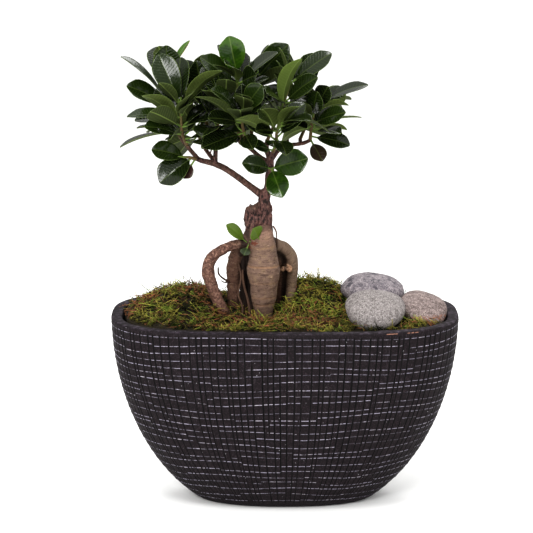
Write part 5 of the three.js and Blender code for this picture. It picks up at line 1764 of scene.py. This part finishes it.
for number, (name, shoot) in enumerate(SHOOTS.items()):
    parts = [stem_shape(shoot["stem"], *STEM_RADII)]
    for k, each in enumerate(grown_leaves):
        if each["shoot"] == number:
            key = (name, each["row"])
            marks = dict(youth=YOUTH.get(key, 0), blush=BLUSH.get(key, 0), amber=AMBER.get(key, 0))
            marks["age"] = SHADED_LEAVES.get(key, inner_leaf_shade(each["row"], k))
            parts.append(leaf_shape(each, 3.7 * k + 1, **marks))
    make_piece("leaves_" + name, joined(parts), grown, ["shoot_" + name])

# %% [markdown]
# The sprout on the graft is this year's growth: three small soft leaves of a fresh green on thin stalks.

# %% Sprout
# Each leaf: where its stalk starts, its tip, its width, its turn and its tone. They are set out finer here
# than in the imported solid, whose stalks all leave one stem.
SPROUT_LEAVES = [
    ((-35, -17, 247.5), (-53.5, -24, 265.5), 12.5, 30, 0.9),
    ((-23, -21, 250), (-29, -31, 263.5), 15.5, 25, 1),
    ((-33, -17, 246.5), (-37.5, -24, 237), 9.5, 10, 0),
]
fresh = (28, 42, 8), (80, 102, 22)
young = leaf_finish("young_leaf", *fresh, (80, 104, 34), (104, 130, 44), (106, 130, 54), 0.4)
parts = [stem_shape(SPROUT_STEM, *SPROUT_RADII)]
for root, tip, width, turn, tone in SPROUT_LEAVES:
    root, tip = np.array(root), np.array(tip)
    wanted = dict(root=root, tip=tip, width=width, face=facing(unit(tip - root), turn), arch=ARCH)
    leaf = make_leaf({**wanted, "petiole": SPROUT_PETIOLE})
    # the lowest sprout leaf, which hangs under the others, gets painted shade
    parts.append(leaf_shape(leaf, width, 0.5, tone=tone, age=1.0 * (tone == 0)))
make_piece("graft_sprout_leaves", joined(parts), young, ["graft_sprout"])

# %% [markdown]
# ## Moss
# Four mats of feather moss cover the soil. Under each lies a brown-green cushion, the imported solid in
# finer cells. On it grow thousands of fronds: a thin arching axis with short branchlets on both sides.
# Neighbouring fronds lean the same way, as combed fur does. Some are dead and brown, mostly where dead
# stalks and needles lie as litter. In a few places the moss is brighter, partly fresher and partly painted
# light against the shade of the roots and crown, and in a few it stands up in tufts. They are plain closed
# spikes in numpy arrays, because there are too many for one object each.

# %% Spikes
FROND_RINGS = np.array([0, 0.3, 0.55, 0.8, 1])
BRANCHLETS = 8
FROND_SPACING = 4.1  # square millimetres of cushion for each frond
WILD = 0.03  # share of the fronds that stick out, thin and long
RIM_REACH = 0.972  # how near to the bowl's wall a frond may end, where 1 is the wall
draws = np.random.default_rng(20)


def spikes(rings, **marks):
    """Closed three-sided spikes over rings, an array of spikes x rows x 3 corners x 3."""
    count, rows = rings.shape[:2]
    one = np.concatenate([band_faces(rows, 3), [[0, 2, 1]], [np.array([0, 1, 2]) + 3 * (rows - 1)]])
    faces = (one[None] + 3 * rows * np.arange(count)[:, None, None]).reshape(-1, 3)
    full = {}
    for name, value in marks.items():
        full[name] = np.broadcast_to(value, (count, rows, 3)).ravel()
    return Shape(rings.reshape(-1, 3), faces, **full)


def cones(base, apex, **marks):
    """Closed three-sided cones: base is an array of cones x 3 corners x 3 and apex of cones x 3."""
    count = len(base)
    one = np.array([[0, 1, 3], [1, 2, 3], [2, 0, 3], [0, 2, 1]])
    faces = (one[None] + 4 * np.arange(count)[:, None, None]).reshape(-1, 3)
    points = np.concatenate([base, apex[:, None]], 1)
    full = {name: np.broadcast_to(value, (count, 4)).ravel() for name, value in marks.items()}
    return Shape(points.reshape(-1, 3), faces, **full)


def across_ways(ways):
    """Two directions square to each way and to each other."""
    side = np.cross(ways, [0.31, 0.17, 1.0])
    side /= np.linalg.norm(side, axis=-1, keepdims=True)
    return side, np.cross(ways, side)


def spike_rings(centres, ways, radius, turn=0.0):
    """Rings of three corners round centres, an array of spikes x rows x 3."""
    side, other = across_ways(ways)
    angle = (2 * np.pi * np.arange(3) / 3 + turn)[:, None]
    corners = np.cos(angle) * side[..., None, :] + np.sin(angle) * other[..., None, :]
    return centres[..., None, :] + radius[..., None, None] * corners


print("a spike of 5 rings has", len(spikes(np.zeros((1, 5, 3, 3))).faces), "triangles")

# %% Fronds


def bent(start, way, bend, length, t):
    """Points along arching fronds at shares t, an array of fronds x shares x 3."""
    t = np.asarray(t)[None, :, None]
    return start[:, None] + length[:, None, None] * (t * way[:, None] + t**2 * bend[:, None])


def fronds(start, way, bend, length, thickness, hue, dry):
    """Fronds and their branchlets. Marks: tip is 0 at the foot and 1 at the end; hue and dry differ."""
    steps = bent(start, way, bend, length, FROND_RINGS)
    radius = thickness[:, None] * (1 - 0.62 * FROND_RINGS)
    ways = np.broadcast_to(way[:, None], steps.shape)
    hue, dry = hue[:, None, None], dry[:, None, None]
    axes = spikes(spike_rings(steps, ways, radius), tip=FROND_RINGS[None, :, None], hue=hue, dry=dry)
    share = 0.16 + 0.78 * (np.arange(BRANCHLETS) + 0.5) / BRANCHLETS
    feet = bent(start, way, bend, length, share)
    side, other = across_ways(way)
    hand = np.where(np.arange(BRANCHLETS) % 2, 1, -1)[None, :, None]
    jitter = draws.normal(0, 0.25, feet.shape)
    outward = hand * side[:, None] + 0.85 * way[:, None] + 0.25 * other[:, None] + jitter
    outward /= np.linalg.norm(outward, axis=-1, keepdims=True)
    size = (np.minimum(0.42 * length, 4.2)[:, None] * (1.15 - 0.8 * share))[..., None]
    ends = (feet + outward * size).reshape(-1, 3)
    thin = (0.95 * thickness[:, None] * (1 - 0.35 * share)).reshape(-1, 1)
    base = spike_rings(feet.reshape(-1, 1, 3), outward.reshape(-1, 1, 3), thin)[:, 0]
    count = len(base)
    tips = np.broadcast_to(share, feet.shape[:2]).reshape(count, 1) + [[0.05, 0.05, 0.05, 0.3]]
    same = {"hue": np.repeat(hue[:, 0], BRANCHLETS, 0), "dry": np.repeat(dry[:, 0], BRANCHLETS, 0)}
    return joined([axes, cones(base, ends, tip=tips, **same)])


print("a frond has", BRANCHLETS, "branchlets")

# %% Pebbles and wall


def in_pebble(points, name, room):
    """Whether points lie in a pebble that is grown by room."""
    of = PEBBLES[name]
    way = turned(np.eye(3), of["tilt"])
    local = (points - of["centre"]) @ way.T / (np.array(of["half"]) + room)
    level = np.abs(local[:, 0]) ** of["squareness"] + np.abs(local[:, 1]) ** of["squareness"]
    return level + local[:, 2] ** 2 < 1


def near_wall(points):
    """1 on the bowl's inner wall at rim height and less inside it."""
    x = np.abs(points[:, 0]) / (BOWL_LENGTH / 2 - WALL)
    y = np.abs(points[:, 1]) / (BOWL_WIDTH / 2 - WALL)
    return (x**RIM_SQUARENESS + y**RIM_SQUARENESS) ** (1 / RIM_SQUARENESS)


on_the_right = near_wall(np.array([[127.0, -11, 184]]))[0]
print(f"the right-hand pebble lies at {on_the_right:.0%} of the way to the wall")

# %% Seeding the mats
MOSS_CELL = 2.7
CLUMP_SIZE = 15
CLUMP_SEED = 45
LITTER_SPACING = 7
# Places with much dead moss and litter: x, y and reach.
LITTER = [(-142, -15, 12), (-126, 10, 9), (-83, 0, 11), (-55, -22, 13), (-30, -40, 12), (16, -40, 22)]
# Places where the moss is brighter, with fewer dead fronds and bare spots: partly fresher moss, partly
# painted light against the shade of the roots and crown.
BRIGHT_MOSS = [(26, 30, 28), (30, 0, 28), (-108, 14, 12)]  # places where the moss is freshest
TUFTS = [(113, 34, 9), (12, 44, 6), (48, 40, 5), (-118, 30, 6)]  # places where the moss stands up
ROOT_ROOM = 0.4
PEBBLE_ROOM = 0.3
BARE = 0.22  # fronds stand where a noise from -1 to 1 is above minus this


def clear_of_all(points):
    """Whether points lie outside the roots and pebbles, and inside the wall where they are below the rim."""
    free = limb_distances(points, ROOTS)[0].min(1) > ROOT_ROOM
    for name in PEBBLES:
        free &= ~in_pebble(points, name, PEBBLE_ROOM)
    return free & ((near_wall(points) < RIM_REACH) | (points[:, 2] > BOWL_HEIGHT + 1.2))


def seeds_on(cushion, spacing):
    """Even random points on the upward faces of a cushion, with their normals."""
    a, b, c = (cushion.points[cushion.faces[:, k]] for k in range(3))
    across = np.cross(b - a, c - a)
    area = np.linalg.norm(across, axis=1) / 2
    up = across[:, 2] / np.maximum(2 * area, 1e-9)
    wanted = np.where((up > 0.25) & (a[:, 2] > 170), area, 0)
    count = int(wanted.sum() / spacing)
    pick = draws.choice(len(area), count, p=wanted / wanted.sum())
    u, v = draws.random((2, count, 1))
    u, v = np.where(u + v > 1, 1 - u, u), np.where(u + v > 1, 1 - v, v)
    return a[pick] + u * (b - a)[pick] + v * (c - a)[pick], across[pick] / (2 * area[pick])[:, None]


def near_places(points, places):
    """How near points are to the nearest of some places, each x, y and reach: 1 in its middle."""
    total = np.zeros(len(points))
    for x, y, reach in places:
        away = np.hypot(points[:, 0] - x, points[:, 1] - y)
        total = np.maximum(total, np.exp(-((away / reach) ** 2)))
    return total


print("places with litter:", len(LITTER), "with fresh moss:", len(BRIGHT_MOSS), "with tufts:", len(TUFTS))

# %% Fronds and litter of a mat
FROND_TILT = (0.2, 1.3)
FROND_LENGTH = (5, 10.5)
FROND_THICKNESS = (0.36, 0.58)
LITTER_HEIGHT = (2.5, 5.5)  # over the cushion
LITTER_LENGTH = (5, 12)
LITTER_THICKNESS = (0.4, 0.75)


def moss_fronds(cushion):
    """The fronds that stand on a cushion, apart from bare spots and what stands in the moss."""
    start, normal = seeds_on(cushion, FROND_SPACING)
    count = len(start)
    flow = np.pi * (2 * noise(start * [1, 1, 0], 20, 41) + 0.5 * draws.normal(size=count))
    lean = np.stack([np.cos(flow), np.sin(flow), np.zeros(count)], 1)
    edge = smoothstep(near_wall(start), 0.88, 0.98)[:, None]
    inward = -start * [1, 2, 0] / np.linalg.norm(start * [1, 2, 0], axis=1)[:, None]
    lean = lean * (1 - edge) + inward * edge
    clump = noise(start * [1, 1, 0], CLUMP_SIZE, CLUMP_SEED)
    wild = draws.random(count) < WILD
    upright = near_places(start, TUFTS)
    tilt = draws.uniform(*FROND_TILT, (count, 1)) * (np.where(wild, 0.4, 1) * (1 - 0.6 * upright))[:, None]
    way = normal + tilt * lean + draws.normal(0, 0.35, (count, 3))
    way /= np.linalg.norm(way, axis=1)[:, None]
    bend = 0.6 * lean + draws.normal(0, 0.45, (count, 3)) - [0, 0, 0.35]
    length = draws.uniform(*FROND_LENGTH, count) * (1 + 0.35 * clump) * np.where(wild, 1.6, 1)
    length = length * (1 - 0.35 * edge[:, 0]) * (1 + 0.9 * upright)
    # partly fresher moss and partly painted light: brighter colour and fewer dead fronds here
    bright_moss = near_places(start, BRIGHT_MOSS)
    dead = 1.1 * noise(start, 8, 43) + 0.15 * edge[:, 0] + 0.4 * draws.normal(size=count)
    dry = smoothstep(dead + 0.75 * near_places(start, LITTER) - 0.4 * bright_moss, 0.62, 1.02)
    start = start - 1.2 * normal
    ends = bent(start, way, bend, length, [0.55, 1])
    free = clear_of_all(ends[:, 0]) & clear_of_all(ends[:, 1]) & (noise(start, 4.6, 46) + 0.5 * bright_moss > -BARE)
    hue = 0.32 + 0.5 * clump + 0.75 * noise(start, 7, 44) + 0.22 * draws.normal(size=count)
    hue = np.clip(hue + 0.6 * bright_moss, 0, 1)
    thickness = draws.uniform(*FROND_THICKNESS, count) * np.where(wild, 0.8, 1)
    kept = (each[free] for each in (start, way, bend, length, thickness, hue, dry))
    return fronds(*kept)


def litter(cushion):
    """Dead stalks and needles that lie on the moss, thickest where LITTER says."""
    start, normal = seeds_on(cushion, LITTER_SPACING)
    keep = draws.random(len(start)) < 0.12 + near_places(start, LITTER)
    start, normal = start[keep], normal[keep]
    count = len(start)
    way = draws.normal(size=(count, 3))
    way = way - (way * normal).sum(1, keepdims=True) * normal * 0.85
    way /= np.linalg.norm(way, axis=1)[:, None]
    foot = start + normal * draws.uniform(*LITTER_HEIGHT, (count, 1))
    apex = foot + way * draws.uniform(*LITTER_LENGTH, (count, 1))
    free = clear_of_all(foot) & clear_of_all(apex)
    base = spike_rings(foot[:, None], way[:, None], draws.uniform(*LITTER_THICKNESS, (count, 1)))[:, 0]
    hue = draws.random((count, 1))
    return cones(base[free], apex[free], tip=1.0, hue=hue[free], dry=1.0)


print("tries for litter: one to", LITTER_SPACING, "square millimetres")

# %% Moss finish
moss = Finish("moss", Specular_IOR_Level=0.25)
tip, hue, dry = moss.mark("tip"), moss.mark("hue"), moss.mark("dry")
fresh_green = moss.blend(hue, colour(27, 44, 9), colour(132, 166, 62))
green = moss.blend(hue, colour(37, 41, 9), colour(180, 170, 80))
green = moss.blend(moss.rise(moss.lumps(8, 3), 0.49, 0.59) * 0.8, green, fresh_green)
# The lower parts of the fronds are dark: partly older brown stems, partly painted shade deep in the mat.
foot = moss.blend(hue, colour(10, 8, 3), colour(44, 38, 12))
straw = moss.blend(hue, colour(50, 30, 19), colour(168, 120, 82))
green = moss.blend(dry, moss.blend(moss.rise(tip, 0.15, 0.95), foot, green), straw)
rust = moss.rise(hue + dry, 1.45, 1.8) * dry
green = moss.blend(rust * 0.5, green, colour(116, 50, 24))
peat = moss.blend(moss.lumps(3, 4), colour(12, 9, 4), colour(40, 32, 12))
green = moss.blend(moss.mark("cushion"), green, peat)
moss.surface(green, roughness=0.75, height=moss.lumps(1.2), depth=0.3)

for side in ["left", "front", "back", "right"]:
    cushion = fused(shape_of(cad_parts["moss_" + side].data), MOSS_CELL, 1)
    on_top = smoothstep(cushion.points[:, 2], 168, 174)
    clump = noise(cushion.points * [1, 1, 0], CLUMP_SIZE, CLUMP_SEED)
    relief = 0.9 * rough(cushion.points, 6, 2, seed=21) + 2.2 * clump - 1.2
    cushion.points += (on_top * relief)[:, None] * cushion.normals()
    cushion.marks["cushion"] = np.ones(len(cushion.points))
    mat = joined([cushion, moss_fronds(cushion), litter(cushion)])
    make_piece("moss_mat_" + side, mat, moss, ["moss_" + side])

print("triangles in all:", sum(triangles.values()))
